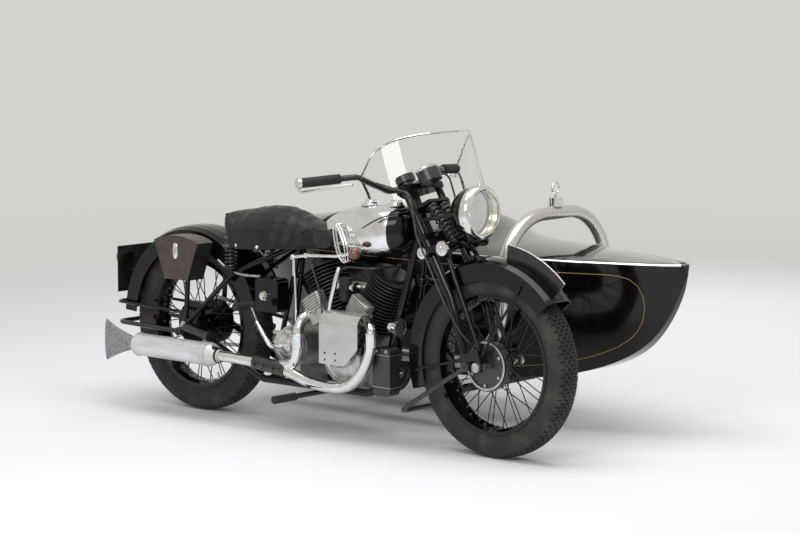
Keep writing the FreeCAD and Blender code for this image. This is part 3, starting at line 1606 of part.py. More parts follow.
def handlebar():
    """The swept bar with its clamp, grips and levers."""
    reach = size.bar_reach
    foot = size.head_top_along + size.crown_wall * OVERRUN_SHARE + size.seat_gap * 2
    top = foot + size.bar_radius
    bars = []
    grips = []
    levers = []
    for side in BOTH_SIDES:
        route = []
        for ahead, out, up in BAR_SHARES:
            route.append(on_fork(reach * ahead, reach * out * side, top + reach * up))
        bars.append(tube(route, size.bar_radius, size.bar_bend))
        end = vector(route[-1])
        inward = (vector(route[-2]) - end).normalize()
        start = [place_value + size.grip_length * part for place_value, part in zip(end, inward)]
        outer = [place_value - size.nut_height * part for place_value, part in zip(end, inward)]
        sleeve = rod(start, outer, size.grip_radius)
        grips.append(cut(sleeve, [rod(start, end, size.bar_radius + size.seat_gap)]))
        levers.append(lever(vector(outer), inward))
    clamp = rod(on_fork(0, 0, foot), on_fork(0, 0, top + size.bar_radius), size.damper_radius)
    subpart("grips", grips)
    bar_top = top + size.bar_radius
    knob = rod(on_fork(0, 0, bar_top), on_fork(0, 0, bar_top + size.nut_height * 2),
               size.damper_knob_radius)
    subpart("handlebar", [joined(bars + [clamp, knob])] + levers)


def lever(tip, inward):
    """A reversed lever: its pivot caps the bar's end and its blade runs back under the grip."""
    ahead = Vector(COS_RAKE, 0, SIN_RAKE)
    root = tip - inward * float(size.seat_gap)
    cap_end = root - inward * float(size.nut_height)
    pivot = (root + cap_end) / 2
    fall = Z_AXIS * float(size.lever_drop)
    knee = pivot - fall * 0.85
    end = pivot - fall + inward * float(size.lever_length) + ahead * float(size.lever_drop)
    blade = tube([tuple(pivot), tuple(knee), tuple(end)], size.lever_radius, size.lever_radius * 2)
    return joined([rod(tuple(root), tuple(cap_end), size.grip_radius * EYE_SHARE), blade,
                   ball(tuple(end), size.lever_radius * OVERRUN_SHARE)])


def control_cables():
    """The front brake's cable down the right fork leg and the clock's drive down the left one."""
    leg = size.leg_radius + size.cable_radius + size.seat_gap
    knee, top = leg_route(-1)[1:]
    out = -size.leg_side - leg
    ahead = size.leg_top_ahead * 2.4
    bar = on_fork(size.bar_reach * -0.085 + size.bar_radius + size.cable_radius + size.seat_gap,
                  size.bar_reach * -0.33, size.head_top_along + size.crown_wall * OVERRUN_SHARE
                  + size.bar_radius + size.bar_reach * 0.075)
    disc_face = -size.friction_disc_side - size.friction_disc_wall / 2
    clip = disc_face - size.hanger_wall / 2 - leg + size.leg_radius
    brake = [bar, on_fork(ahead * 0.6, out, size.head_top_along - size.lug_radius),
             on_fork(size.leg_top_ahead, clip, size.head_bottom_along),
             on_fork(size.leg_top_ahead, clip, size.spring_leg_foot_along * OVERRUN_SHARE),
             on_fork(size.leg_top_ahead, out - size.cable_radius, size.leg_foot_along + size.leg_side),
             moved(FRONT_AXLE, ahead=-size.drum_radius * 0.5, side=brake_face(), up=size.drum_radius * 0.6)]
    clock = speedometer_point(0.5)
    drive = [moved(clock, side=size.speedometer_radius + size.seat_gap),
             moved(clock, side=size.leg_side + leg),
             on_fork(size.leg_top_ahead, -clip, size.head_bottom_along),
             on_fork(size.leg_top_ahead, -clip, size.spring_leg_foot_along * OVERRUN_SHARE),
             on_fork(size.leg_foot_ahead, -out, size.leg_foot_along + size.leg_side),
             on_fork(0, -out, size.leg_foot_along + size.lug_radius)]
    subpart("control_cables", [tube(route, size.cable_radius, size.cable_bend) for route in (brake, drive)])


def headlamp():
    """The lamp's shell, its chrome rim and the bulged glass."""
    centre = (0, 0, size.lamp_up)
    front = size.lamp_front - size.lens_bulge
    rim_back = front - size.lamp_rim_depth
    back = rim_back - size.lamp_depth
    shell = [
        (0, back),
        (size.lamp_radius * 0.45, back + size.lamp_depth * 0.08),
        (size.lamp_radius * 0.78, back + size.lamp_depth * 0.32),
        (size.lamp_radius * 0.96, back + size.lamp_depth * 0.7),
        (size.lamp_radius, rim_back),
        (0, rim_back),
    ]
    shell_body = turned(centre, shell, axis=X_AXIS)
    lens_radius = size.lamp_rim_radius - size.lamp_rim_depth * 0.5
    rim_outline = [
        (lens_radius, rim_back),
        (size.lamp_rim_radius * 0.97, rim_back),
        (size.lamp_rim_radius, rim_back + size.lamp_rim_depth * 0.5),
        (lens_radius + size.lens_wall, front),
        (lens_radius, front),
    ]
    subpart("headlamp_rim", [turned(centre, rim_outline, axis=X_AXIS)])
    seat = lens_radius - size.running_gap
    glass = [
        (0, rim_back + size.lamp_rim_depth * 0.5),
        (seat, rim_back + size.lamp_rim_depth * 0.5),
        (seat, front),
        (lens_radius * 0.7, front + size.lens_bulge * 0.6),
        (lens_radius * 0.35, front + size.lens_bulge * 0.92),
        (0, front + size.lens_bulge),
    ]
    subpart("headlamp_glass", [turned(centre, glass, axis=X_AXIS)])
    arms = []
    rooms = []
    for side in BOTH_SIDES:
        knee, top = leg_route(side)[1:]
        high = (rim_back - size.lamp_rim_depth, size.lamp_radius * 0.92 * side, size.lamp_up)
        arms.append(rod(run_point(knee, top, 0.74), high, size.stay_radius * 0.7))
        rooms.append(rod(knee, top, size.leg_radius + size.seat_gap))
    subpart("headlamp_shell", [cut(joined([shell_body] + arms), rooms)])


def speedometer_point(share):
    """A point on the clock's axis, a share of its depth up from its foot."""
    edge = size.leg_top_ahead * 0.9 + size.leg_radius * 1.3
    ahead = edge + size.seat_gap + size.speedometer_radius
    return on_fork(ahead, 0, size.head_top_along + size.clearance + size.speedometer_depth * share)


def speedometer():
    """The round clock held on the front edge of the top crown."""
    subpart("speedometer", [rod(speedometer_point(0), speedometer_point(1), size.speedometer_radius)])


def front_guard():
    """The front mudguard and the blank curved plate along its top."""
    radius = size.front_tyre_radius
    guard = mudguard(FRONT_AXLE, radius, size.guard_half_width, 41, 199)
    crown = radius + size.guard_gap + size.guard_crown + size.seat_gap
    half = size.front_plate_wall / 2
    rim = crown + size.front_plate_height
    outline = [(crown, -half), (rim, -half), (rim, half), (crown, half)]
    crest = turned(FRONT_AXLE, outline, angle=38, start=-84)
    stays = []
    skirt = size.guard_half_width + size.stay_radius * 0.25
    thin = size.stay_radius / 2
    link_face = rocker_side() - size.dropout_wall / 2 - size.seat_gap - thin
    eye_face = size.leg_side - size.leg_radius * EYE_SHARE - size.seat_gap - thin
    pivot = on_fork(size.leg_foot_ahead, 0, size.leg_foot_along)
    for side in BOTH_SIDES:
        near_axle = moved(FRONT_AXLE, ahead=-size.axle_radius, side=link_face * side, up=size.nut_radius)
        near_leg = moved(pivot, ahead=-size.axle_radius, side=eye_face * side)
        for foot, angle in ((near_axle, 62), (near_leg, 188)):
            hem = arc_point(FRONT_AXLE, radius + size.guard_gap - size.guard_skirt / 2, angle, skirt * side)
            stays.append(rod(foot, hem, thin))
    subpart("front_mudguard", [joined_in_turn([guard] + stays), crest])


# Stands, footrests and small controls

def hoop(pivot, side, angle, reach, radius):
    """A U-shaped stand: two legs from their pivots and the bar that joins them."""
    turn = math.radians(angle)
    route = []
    for sign, share in ((-1, 0), (-1, 1), (1, 1), (1, 0)):
        down = reach * share
        route.append(moved(pivot, down * math.cos(turn), side * sign, down * math.sin(turn)))
    pieces = [tube(route, radius, radius * 4)]
    for sign in BOTH_SIDES:
        pieces.append(disc(moved(pivot, side=side * sign), Y_AXIS, radius * 1.8, radius * 2.2))
    bore = rod(moved(pivot, side=side * -OVERRUN_SHARE), moved(pivot, side=side * OVERRUN_SHARE),
               size.stand_pin_radius + size.running_gap)
    return cut(joined(pieces), [bore])


def stands():
    """The hooped stands, both folded up as the machine stands on its three wheels."""
    subpart("rear_stand", [hoop(rear_stand_pivot(), size.rear_stand_side, 179, size.rear_stand_reach,
                                size.stand_radius)])
    subpart("front_stand", [hoop(front_stand_pivot(), size.front_stand_side, 212, size.front_stand_reach,
                                 size.stand_radius)])


def footrests():
    """A footrest either side on a bar across the cradle."""
    low = size.cradle_up - size.frame_tube_radius - size.stay_radius - size.seat_gap
    ahead = size.gearbox_ahead + size.gearbox_radius * OVERRUN_SHARE
    bar = rod((ahead, -size.footrest_side, low), (ahead, size.footrest_side, low), size.stay_radius)
    pads = []
    for side in BOTH_SIDES:
        inner = (ahead, size.footrest_side * side, low)
        pads.append(rod(inner, moved(inner, side=size.footrest_length * side), size.footrest_radius))
    subpart("footrests", [joined([bar] + pads)] + [pillion_rest(side) for side in BOTH_SIDES])


def pillion_rest(side):
    """A folded rubber rest on a bracket from the chain stay."""
    rear = (size.pillion_rest_rear, size.pillion_rest_side * side, size.pillion_rest_rear_up)
    front = (size.pillion_rest_front, size.pillion_rest_side * side, size.pillion_rest_front_up)
    stay_rear = (size.dropout_radius * 0.5, size.dropout_side * side, size.rear_tyre_radius)
    stay_front = (size.cradle_rear_ahead, size.cradle_rear_side * side, size.cradle_up)
    hold = run_point(stay_rear, stay_front, 0.34)
    arm = rod(run_point(rear, front, 0.55), hold, size.stay_radius * 0.8)
    room = rod(stay_rear, stay_front, size.frame_tube_radius + size.seat_gap)
    return cut(joined([rod(rear, front, size.footrest_radius), arm]), [room])


def gear_change(tank):
    """The hand gear lever on its post from the tank, and the rod down to the gearbox."""
    side = -size.gear_side
    pivot = (size.tank_rear + size.knee_length * OVERRUN_SHARE, side,
             size.tank_bottom + size.gearbox_cover_depth)
    knob_centre = moved(pivot, ahead=size.magneto_radius, up=size.gearbox_cover_depth)
    rear = (size.gearbox_ahead - size.gearbox_radius / 2, side, size.tank_bottom)
    knee = (size.gearbox_ahead + size.gearbox_radius * 0.3, side, size.gearbox_up + size.gearbox_radius * 1.2)
    face = -size.gearbox_right - size.gearbox_cover_depth - size.gear_rod_radius - size.seat_gap
    foot = (knee[0], face, size.gearbox_up + size.gearbox_radius * 0.3)
    post = moved(pivot, ahead=-size.lug_radius)
    pieces = [tube([knob_centre, pivot, rear, knee, foot], size.gear_rod_radius, size.lug_radius),
              ball(knob_centre, size.footrest_radius),
              rod(post, moved(post, side=size.tank_half_width), size.gear_rod_radius)]
    subpart("gear_change", [cut(joined(pieces), [shifted(tank, side=-size.seat_gap)])])


# Sidecar body

HULL_SHARES = (
    # Share of the length from the tail; half-widths at the deck edge and at the chine as shares of the
    # body's; the keel's rise as a share of the body's depth
    (0.0, 0.14, 0.05, 0.66),
    (0.08, 0.50, 0.22, 0.34),
    (0.20, 0.84, 0.40, 0.10),
    (0.34, 0.99, 0.48, 0.0),
    (0.46, 1.0, 0.49, 0.0),
    (0.66, 0.99, 0.44, 0.04),
    (0.74, 0.88, 0.36, 0.075),
    (0.81, 0.72, 0.27, 0.14),
    (0.88, 0.53, 0.17, 0.25),
    (0.93, 0.38, 0.10, 0.39),
    (0.97, 0.22, 0.05, 0.60),
    (1.0, 0.05, 0.015, 0.90),
)

DECK_SHARES = (
    # Share of the length from the tail; half-width as a share of the body's; shoulder and crown as
    # shares of the scuttle's height over the deck edge
    (0.0, 0.14, 0.02, 0.08),
    (0.08, 0.50, 0.04, 0.28),
    (0.20, 0.84, 0.08, 0.58),
    (0.34, 0.99, 0.24, 0.78),
    (0.46, 1.0, 0.44, 0.92),
    (0.525, 1.0, 0.50, 1.0),
    (0.56, 1.0, 0.36, 0.86),
    (0.61, 0.995, 0.10, 0.54),
    (0.66, 0.99, 0.06, 0.36),
    (0.74, 0.88, 0.04, 0.26),
    (0.81, 0.72, 0.035, 0.17),
    (0.88, 0.53, 0.03, 0.11),
    (0.93, 0.38, 0.02, 0.07),
    (1.0, 0.05, 0.005, 0.02),
)
BODY_STATIONS = 24


def eased(shares, along, column):
    """A column of a table of shares at any place along, by a curve that never overshoots its rows."""
    places = [row[0] for row in shares]
    values = [row[column] for row in shares]
    slopes = [(after - before) / (far - near)
              for before, after, near, far in zip(values, values[1:], places, places[1:])]
    tangents = [slopes[0]]
    for before, after in zip(slopes, slopes[1:]):
        tangents.append(0 if before * after <= 0 else 2 * before * after / (before + after))
    tangents.append(slopes[-1])
    row = max(number for number in range(len(places) - 1) if places[number] <= along)
    span = places[row + 1] - places[row]
    part = (along - places[row]) / span
    start_value = (2 * part ** 3 - 3 * part ** 2 + 1) * values[row]
    start_slope = (part ** 3 - 2 * part ** 2 + part) * span * tangents[row]
    end_value = (3 * part ** 2 - 2 * part ** 3) * values[row + 1]
    end_slope = (part ** 3 - part ** 2) * span * tangents[row + 1]
    return start_value + start_slope + end_value + end_slope


def body_ahead(along):
    """How far ahead a share of the hull's length lies."""
    return size.body_tail + (size.nose_ahead - size.body_tail) * along


def hull_wire(along, wall):
    """A hull section: flat deck line, slightly full flared sides and a flat keel panel."""
    x = body_ahead(along)
    middle = size.body_side
    depth = size.deck_edge_up - size.keel_up
    edge = size.body_half_width * eased(HULL_SHARES, along, 1) - wall
    chine = size.body_half_width * eased(HULL_SHARES, along, 2) - wall
    keel = size.keel_up + depth * eased(HULL_SHARES, along, 3) + wall
    side_middle = (edge + chine) / 2 + (edge - chine) * 0.1
    waist = (keel + size.deck_edge_up) / 2
    top_left = vector((x, middle + edge, size.deck_edge_up))
    top_right = vector((x, middle - edge, size.deck_edge_up))
    low_left = vector((x, middle + chine, keel))
    low_right = vector((x, middle - chine, keel))
    return Part.Wire([
        Part.Arc(top_left, vector((x, middle + side_middle, waist)), low_left).toShape(),
        Part.LineSegment(low_left, low_right).toShape(),
        Part.Arc(low_right, vector((x, middle - side_middle, waist)), top_right).toShape(),
        Part.LineSegment(top_right, top_left).toShape(),
    ])


def deck_wire(along):
    """A deck section: flat below, crowned above."""
    x = body_ahead(along)
    middle = size.body_side
    rise = size.scuttle_up - size.deck_edge_up
    half = size.body_half_width * eased(DECK_SHARES, along, 1)
    shoulder = size.deck_edge_up + rise * eased(DECK_SHARES, along, 2)
    crown = size.deck_edge_up + rise * eased(DECK_SHARES, along, 3)
    points = []
    edge = size.deck_edge_up
    bend = edge * 0.15 + shoulder * 0.85
    slope = shoulder * 0.36 + crown * 0.64
    for out, up in ((-1, edge), (-0.95, bend), (-0.62, slope), (0, crown),
                    (0.62, slope), (0.95, bend), (1, edge)):
        points.append(vector((x, middle + half * out, up)))
    curve = Part.BSplineCurve()
    curve.interpolate(points)
    return Part.Wire([curve.toShape(), Part.LineSegment(points[-1], points[0]).toShape()])


def stations(first, last, count):
    """Evenly spaced shares from first to last."""
    return [first + (last - first) * step / (count - 1) for step in range(count)]


COCKPIT_SHARES = (0.26, 0.64)
CROSS_SHARES = (0.17, 0.36, 0.60)


def cockpit_outline():
    """The cockpit's opening seen from above, round at the front."""
    half = size.cockpit_half_width
    bow = size.cockpit_front - half
    points = [(size.cockpit_rear, -half * 0.72), (size.cockpit_rear + half * 0.22, -half)]
    for step in range(9):
        turn = math.radians(-90 + 180 * step / 8)
        points.append((bow + half * math.cos(turn), half * math.sin(turn)))
    points += [(size.cockpit_rear + half * 0.22, half), (size.cockpit_rear, half * 0.72)]
    return points


def cockpit_cutter(low, high):
    """The room cut down through the deck."""
    middle = (low + high) / 2
    return plate((0, size.body_side, middle), cockpit_outline(), high - low, Rotation())


def well_outline():
    """The open mouth of the hull below the deck, seen from above."""
    half = size.cockpit_half_width
    front = body_ahead(COCKPIT_SHARES[1]) - size.body_wall
    rear = body_ahead(COCKPIT_SHARES[0]) + size.body_wall
    return [(rear, -half * 0.8), (front, -half), (front, half), (rear, half * 0.8)]


def sidecar_body():
    """The hollow boat hull and the crowned deck with its cockpit opening."""
    outer = loft([hull_wire(along, 0) for along in stations(0, 1, BODY_STATIONS)])
    cockpit = stations(*COCKPIT_SHARES, BODY_STATIONS // 2)
    inner = loft([hull_wire(along, size.body_wall) for along in cockpit])
    mouth = plate((0, size.body_side, size.deck_edge_up), well_outline(), size.body_wall * 4, Rotation())
    subpart("sidecar_hull", [cut(outer, [inner, mouth])])
    deck = loft([deck_wire(along) for along in stations(0, 1, BODY_STATIONS)])
    subpart("sidecar_deck", [cut(deck, [cockpit_cutter(size.keel_up, size.screen_top)])])
    return deck


def sidecar_screen(deck):
    """The clear wrap-round screen, raked back and seated on the scuttle."""
    low = size.deck_edge_up + size.body_wall
    high = size.screen_top + size.lug_radius
    lean = math.tan(math.radians(20))
    outer = screen_loft(size.screen_radius, low, high, lean)
    inner = screen_loft(size.screen_radius - size.screen_wall, low, high, lean)
    subpart("sidecar_screen", [cut(outer, [inner, shifted(deck, up=size.seat_gap), screen_corners()])])


def screen_corners():
    """What is cut off the screen's top, which falls in a quarter ellipse to its rear edges."""
    length = size.screen_corner_length
    height = size.screen_corner_height
    low = size.screen_top - height
    above = size.screen_top + size.screen_radius
    behind = size.screen_rear - size.screen_radius
    steps = 10
    outline = [(behind, low), (size.screen_rear, low)]
    for step in range(1, steps):
        turn = math.radians(90 * step / steps)
        outline.append((size.screen_rear + length - length * math.cos(turn), low + height * math.sin(turn)))
    front = size.screen_rear + length
    outline += [(front, size.screen_top), (front + size.screen_radius, size.screen_top),
                (front + size.screen_radius, above), (behind, above)]
    return plate((0, size.body_side, 0), outline, size.screen_radius * OVERRUN_SHARE * 2)


def screen_loft(radius, low, high, lean):
    """A half-round column that leans back as it rises."""
    wires = []
    for up in (low, high):
        back = (up - size.scuttle_up) * -lean
        centre = (size.screen_ahead + back, size.body_side, up)
        left = vector(moved(centre, side=radius))
        right = vector(moved(centre, side=-radius))
        front = vector(moved(centre, ahead=radius))
        curve = Part.Arc(left, front, right).toShape()
        wires.append(Part.Wire([curve, Part.LineSegment(right, left).toShape()]))
    return loft(wires, ruled=True)


def cushion(front, rear, low, high, low_half, high_half):
    """A plain cushion that widens upwards with the hull's sides."""
    outline = [(-low_half, low), (low_half, low), (high_half, high), (-high_half, high)]
    middle = ((front + rear) / 2, size.body_side, 0)
    return plate(middle, outline, front - rear, Rotation(Z_AXIS, 90) * UPRIGHT)


def keel_at(ahead):
    """The keel's height at a place along the body."""
    along = (float(ahead) - float(size.body_tail)) / (float(size.nose_ahead) - float(size.body_tail))
    return size.keel_up + (size.deck_edge_up - size.keel_up) * eased(HULL_SHARES, along, 3)


def sidecar_seat():
    """The seat cushion on the floor and the upright squab behind it."""
    rear = body_ahead(COCKPIT_SHARES[0]) + size.body_wall + size.seat_gap
    squab_front = rear + size.squab_thickness
    seat_rear = squab_front + size.seat_gap
    lift = size.body_wall + size.seat_gap * 2
    squab_floor = keel_at(rear) + lift
    seat_floor = keel_at(seat_rear) + lift
    seat = cushion(seat_rear + size.seat_length, seat_rear, seat_floor, seat_floor + size.seat_thickness,
                   size.seat_low_half, size.seat_high_half)
    squab = cushion(squab_front, rear, squab_floor, size.squab_top, size.seat_low_half, size.squab_top_half)
    subpart("sidecar_seat", [seat, squab])


def fitting(anchor, run_start, run_end, tube_radius, end):
    """An arm from a clamp round one of the motorcycle's tubes to the sidecar's chassis."""
    arm = rod(anchor, end, size.cross_radius * 0.8)
    clamp = ball(anchor, tube_radius * 1.8)
    room = rod(run_start, run_end, tube_radius + size.seat_gap)
    return cut(joined([arm, clamp]), [room])


def fittings():
    """The four arms that hold the sidecar to the motorcycle."""
    near = size.body_side - size.chassis_side
    up = size.chassis_up
    front = (size.cradle_front_ahead, size.cradle_side, size.cradle_up)
    rear = (size.cradle_rear_ahead, size.cradle_rear_side, size.cradle_up)
    pieces = []
    for share in (0.12, 0.88):
        anchor = run_point(front, rear, share)
        pieces.append(fitting(anchor, front, rear, size.frame_tube_radius, (anchor[0], near, up)))
    head, knee = down_tube(1)
    pieces.append(fitting(run_point(head, knee, 0.42), head, knee, size.frame_tube_radius,
                          (size.arch_ahead, near, size.arch_top * 0.65)))
    lug, foot = rear_post(1)
    pieces.append(fitting(run_point(lug, foot, 0.25), lug, foot, size.stay_radius,
                          (size.cradle_rear_ahead, near, up)))
    return pieces


def sidecar_chassis():
    """The large-tube chassis loop that rises over the nose, with its cross tubes and arms."""
    near = size.body_side - size.chassis_side
    far = size.body_side + size.chassis_side
    up = size.chassis_up
    rear = size.chassis_rear
    loop = [(rear, near, up), (size.arch_ahead, near, up), (size.arch_ahead, near, size.arch_top),
            (size.arch_ahead, far, size.arch_top), (size.arch_ahead, far, up), (rear, far, up)]
    subpart("sidecar_chassis", [tube(loop, size.chassis_radius, size.arch_bend)])
    fit = size.chassis_radius + size.seat_gap
    rooms = []
    for side in (near, far):
        rooms.append(rod((rear, side, up), (size.arch_ahead - size.arch_bend, side, up), fit))
    rooms.append(rod((size.arch_ahead, near, up + size.arch_bend),
                     (size.arch_ahead, near, size.arch_top - size.arch_bend), fit))
    pieces = [cut(arm, rooms) for arm in fittings()]
    for along in CROSS_SHARES:
        ahead = body_ahead(along)
        ends = (keel_at(ahead - size.spring_block), keel_at(ahead + size.spring_block))
        keel = min(ends, key=float) - size.seat_gap * 2
        below = keel - size.cross_radius - size.spring_block / 2
        drop = [(ahead, near, up), (ahead, near + size.spring_block * 2, below),
                (ahead, far - size.spring_block * 2, below), (ahead, far, up)]
        foot = disc((ahead, size.body_side, keel - size.spring_block / 4), Z_AXIS,
                    size.spring_block, size.spring_block / 2)
        pieces.append(cut(joined([tube(drop, size.cross_radius, size.spring_block), foot]), rooms))
    subpart("sidecar_fittings", pieces)
    stub_start = moved(SIDECAR_AXLE, side=-size.sidecar_track + far)
    stub_end = moved(SIDECAR_AXLE, side=size.hub_flange_side + size.nut_height)
    lower = (size.sidecar_wheel_lead, far, up)
    stub = joined([rod(stub_start, stub_end, size.axle_radius),
                   rod(moved(lower, up=size.chassis_radius), stub_start, size.lug_radius),
                   disc(moved(stub_end, side=size.nut_height / 2), Y_AXIS, size.nut_radius, size.nut_height)])
    subpart("sidecar_axle", [stub])


def sidecar_guard():
    """The sidecar wheel's mudguard with its stays to the chassis."""
    guard = mudguard(SIDECAR_AXLE, size.sidecar_tyre_radius, size.guard_half_width, 20, 175)
    stays = []
    hem = size.sidecar_tyre_radius + size.guard_gap - size.guard_skirt / 2
    far = size.body_side + size.chassis_side
    for angle in (40, 95, 150):
        inner = arc_point(SIDECAR_AXLE, hem, angle, -size.guard_half_width)
        stays.append(rod((inner[0], far, size.chassis_up), inner, size.stay_radius / 2))
    room = rod((size.chassis_rear, far, size.chassis_up), (size.arch_ahead, far, size.chassis_up),
               size.chassis_radius + size.seat_gap)
    subpart("sidecar_mudguard", [cut(joined_in_turn([guard] + stays), [room])])


def arch_cap():
    """The filler cap on the arch, topped by a plain ring."""
    foot = (size.arch_ahead, size.body_side, size.arch_top + size.chassis_radius)
    top = moved(foot, up=size.cap_height * 2)
    stem = moved(top, up=size.cap_height)
    ring_centre = moved(stem, up=size.ornament_radius)
    pieces = [rod(foot, top, size.cap_radius), rod(top, stem, size.ornament_wall * 1.5),
              ring(ring_centre, X_AXIS, size.ornament_radius, size.ornament_wall)]
    subpart("arch_cap", [joined(pieces)])


def build():
    """Makes every sub-part."""
    for name, axle, radius, drum_side, extras in (
        ("front", FRONT_AXLE, size.front_tyre_radius, -1, []),
        ("rear", REAR_AXLE, size.rear_tyre_radius, -1, [rear_sprocket()]),
        ("sidecar", SIDECAR_AXLE, size.sidecar_tyre_radius, -1, []),
    ):
        tyre(name + "_tyre", axle, radius)
        wheel(name + "_wheel", axle, drum_side, extras)
    frame()
    crankcase()
    subpart("cylinders", [cylinder(CYLINDER_LEAN), cylinder(-CYLINDER_LEAN)])
    subpart("valve_covers", [valve_chest(CYLINDER_LEAN), valve_chest(-CYLINDER_LEAN)])
    gearbox()
    primary_case()
    rear_chain()
    exhaust()
    silencer()
    magneto()
    carburettor()
    kick_starter()
    tank = petrol_tank()
    subpart("filler_caps", [cut(cap, [shifted(tank, up=size.seat_gap)]) for cap in filler_caps()])
    subpart("knee_grips", [cut(pad, [shifted(tank, side=size.seat_gap * 3 * side)])
                           for side, pad in zip(BOTH_SIDES, knee_grips())])
    seat = saddle()
    saddle_springs(seat)
    boxes()
    toolboxes()
    rear_guard()
    fork_legs()
    spring_fork()
    front_brake_plate()
    fork_springs()
    handlebar()
    headlamp()
    speedometer()
    control_cables()
    front_guard()
    stands()
    footrests()
    gear_change(tank)
    deck = sidecar_body()
    sidecar_screen(deck)
    sidecar_seat()
    sidecar_chassis()
    sidecar_guard()
    arch_cap()


def settle():
    """Moves every sub-part so that the origin lies under the middle of the machine."""
    box = FreeCAD.BoundBox()
    for piece in SUBPARTS:
        box.add(piece.Shape.optimalBoundingBox(False, False))
    shift = Vector(-(box.XMin + box.XMax) / 2, -(box.YMin + box.YMax) / 2, -box.ZMin)
    for piece in SUBPARTS:
        piece.Placement = Placement(shift, Rotation())
    DOC.recompute()
    return shift


def check():
    """Stops if any object failed or any sub-part's shape is empty or faulty."""
    faults = [item.Label for item in DOC.Objects if {"Invalid", "Error"} & set(item.State)]
    for piece in SUBPARTS:
        if piece.Shape.isNull() or not piece.Shape.isValid() or piece.Shape.Volume <= 0:
            faults.append(piece.Label)
    if faults:
        raise ValueError("Faulty pieces: " + ", ".join(faults))


build()
DOC.recompute()
shift = settle()
check()
os.makedirs("parts", exist_ok=True)
for piece in SUBPARTS:
    piece.Shape.exportStep("parts/" + piece.Label + ".step")
print("Origin moved by", [round(value, 3) for value in shift])
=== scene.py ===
import json
import math

import bmesh
import bpy
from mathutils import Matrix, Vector

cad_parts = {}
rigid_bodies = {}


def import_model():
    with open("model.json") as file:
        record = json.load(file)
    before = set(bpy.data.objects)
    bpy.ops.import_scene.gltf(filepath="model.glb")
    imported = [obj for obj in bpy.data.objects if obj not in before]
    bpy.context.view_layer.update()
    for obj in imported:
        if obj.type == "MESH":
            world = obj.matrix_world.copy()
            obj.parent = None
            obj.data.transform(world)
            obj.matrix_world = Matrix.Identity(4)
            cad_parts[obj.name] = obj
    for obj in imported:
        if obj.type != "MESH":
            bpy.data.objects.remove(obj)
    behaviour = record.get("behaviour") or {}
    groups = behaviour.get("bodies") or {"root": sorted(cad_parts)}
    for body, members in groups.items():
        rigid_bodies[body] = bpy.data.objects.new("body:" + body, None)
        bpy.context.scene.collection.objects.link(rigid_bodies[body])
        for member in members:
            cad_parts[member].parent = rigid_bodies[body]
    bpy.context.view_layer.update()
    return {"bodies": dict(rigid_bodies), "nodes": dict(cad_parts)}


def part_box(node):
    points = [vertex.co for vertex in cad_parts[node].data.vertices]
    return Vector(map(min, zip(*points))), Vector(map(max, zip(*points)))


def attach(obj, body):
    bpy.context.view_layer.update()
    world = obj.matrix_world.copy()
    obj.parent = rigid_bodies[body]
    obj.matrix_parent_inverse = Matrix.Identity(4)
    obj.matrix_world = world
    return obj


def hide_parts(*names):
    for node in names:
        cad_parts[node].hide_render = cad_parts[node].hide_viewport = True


# The finish of a sidecar motorcycle, built round its fixed frame.
# Sizes are written in millimetres, from the ground under the rear axle, and
# turned to metres in the frame's own place by spot() and by MM.

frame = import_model()
MM = 0.001
REAR_LOW, REAR_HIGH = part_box("rear_tyre")
ORIGIN = Vector(((REAR_LOW.x + REAR_HIGH.x) / 2, (REAR_LOW.y + REAR_HIGH.y) / 2, 0))
RIGHT_AND_LEFT = (-1, 1)
AHEAD = (1, 0, 0)
UPWARD = (0, 0, 1)
OUTWARD = (0, -1, 0)
RAKE = 29.7
AXIS_FOOT = 1610
FRONT_WHEEL_AHEAD = 1500
FRONT_WHEEL_UP = 336
RIM_REACH = 238
LEAST_RADIUS = 0.01
CLOTH_FRAMES = 20
CLOTH_PRESSURE = 4


def spot(ahead, side, up):
    """A place given in millimetres from the ground under the rear axle."""
    return ORIGIN + Vector((ahead, side, up)) * MM


def spots(places):
    """Several such places."""
    return [spot(*place) for place in places]


# The camera, at the photograph's place

def make_camera():
    data = bpy.data.cameras.new("camera")
    data.sensor_width = 36
    data.lens = 116.7
    camera = bpy.data.objects.new("camera", data)
    camera.location = spot(7331, -7018, 1792)
    aim = spot(1031.8, 0, 647.1) - camera.location
    camera.rotation_euler = aim.to_track_quat("-Z", "Y").to_euler()
    bpy.context.scene.collection.objects.link(camera)
    bpy.context.scene.camera = camera


# Light, floor and backdrop

BACKDROP = (0.655, 0.648, 0.606, 1)
FLOOR = (0.86, 0.865, 0.885, 1)


def soft_light(name, place, aim, width, watts, shines=True):
    data = bpy.data.lights.new(name, "AREA")
    data.shape = "RECTANGLE"
    data.size = width
    data.size_y = width * 0.6
    data.energy = watts
    light = bpy.data.objects.new(name, data)
    light.location = place
    light.rotation_euler = (aim - place).to_track_quat("-Z", "Y").to_euler()
    light.visible_glossy = shines
    bpy.context.scene.collection.objects.link(light)


def reckoned(tree, operation, first, second):
    """What a shader works out from two values."""
    node = tree.nodes.new("ShaderNodeMath")
    node.operation = operation
    tree.links.new(first, node.inputs[0])
    tree.links.new(second, node.inputs[1])
    return node.outputs[0]


def mixed(tree, share, first, second):
    """Two surfaces mixed by a share."""
    mix = tree.nodes.new("ShaderNodeMixShader")
    tree.links.new(share, mix.inputs["Fac"])
    tree.links.new(first, mix.inputs[1])
    tree.links.new(second, mix.inputs[2])
    return mix.outputs[0]


def seen_directly(tree):
    """One where a ray comes from the camera, a mirror or a glass, else nothing."""
    path = tree.nodes.new("ShaderNodeLightPath")
    total = path.outputs["Is Camera Ray"]
    for name in ("Is Glossy Ray", "Is Transmission Ray"):
        total = reckoned(tree, "MAXIMUM", total, path.outputs[name])
    return total


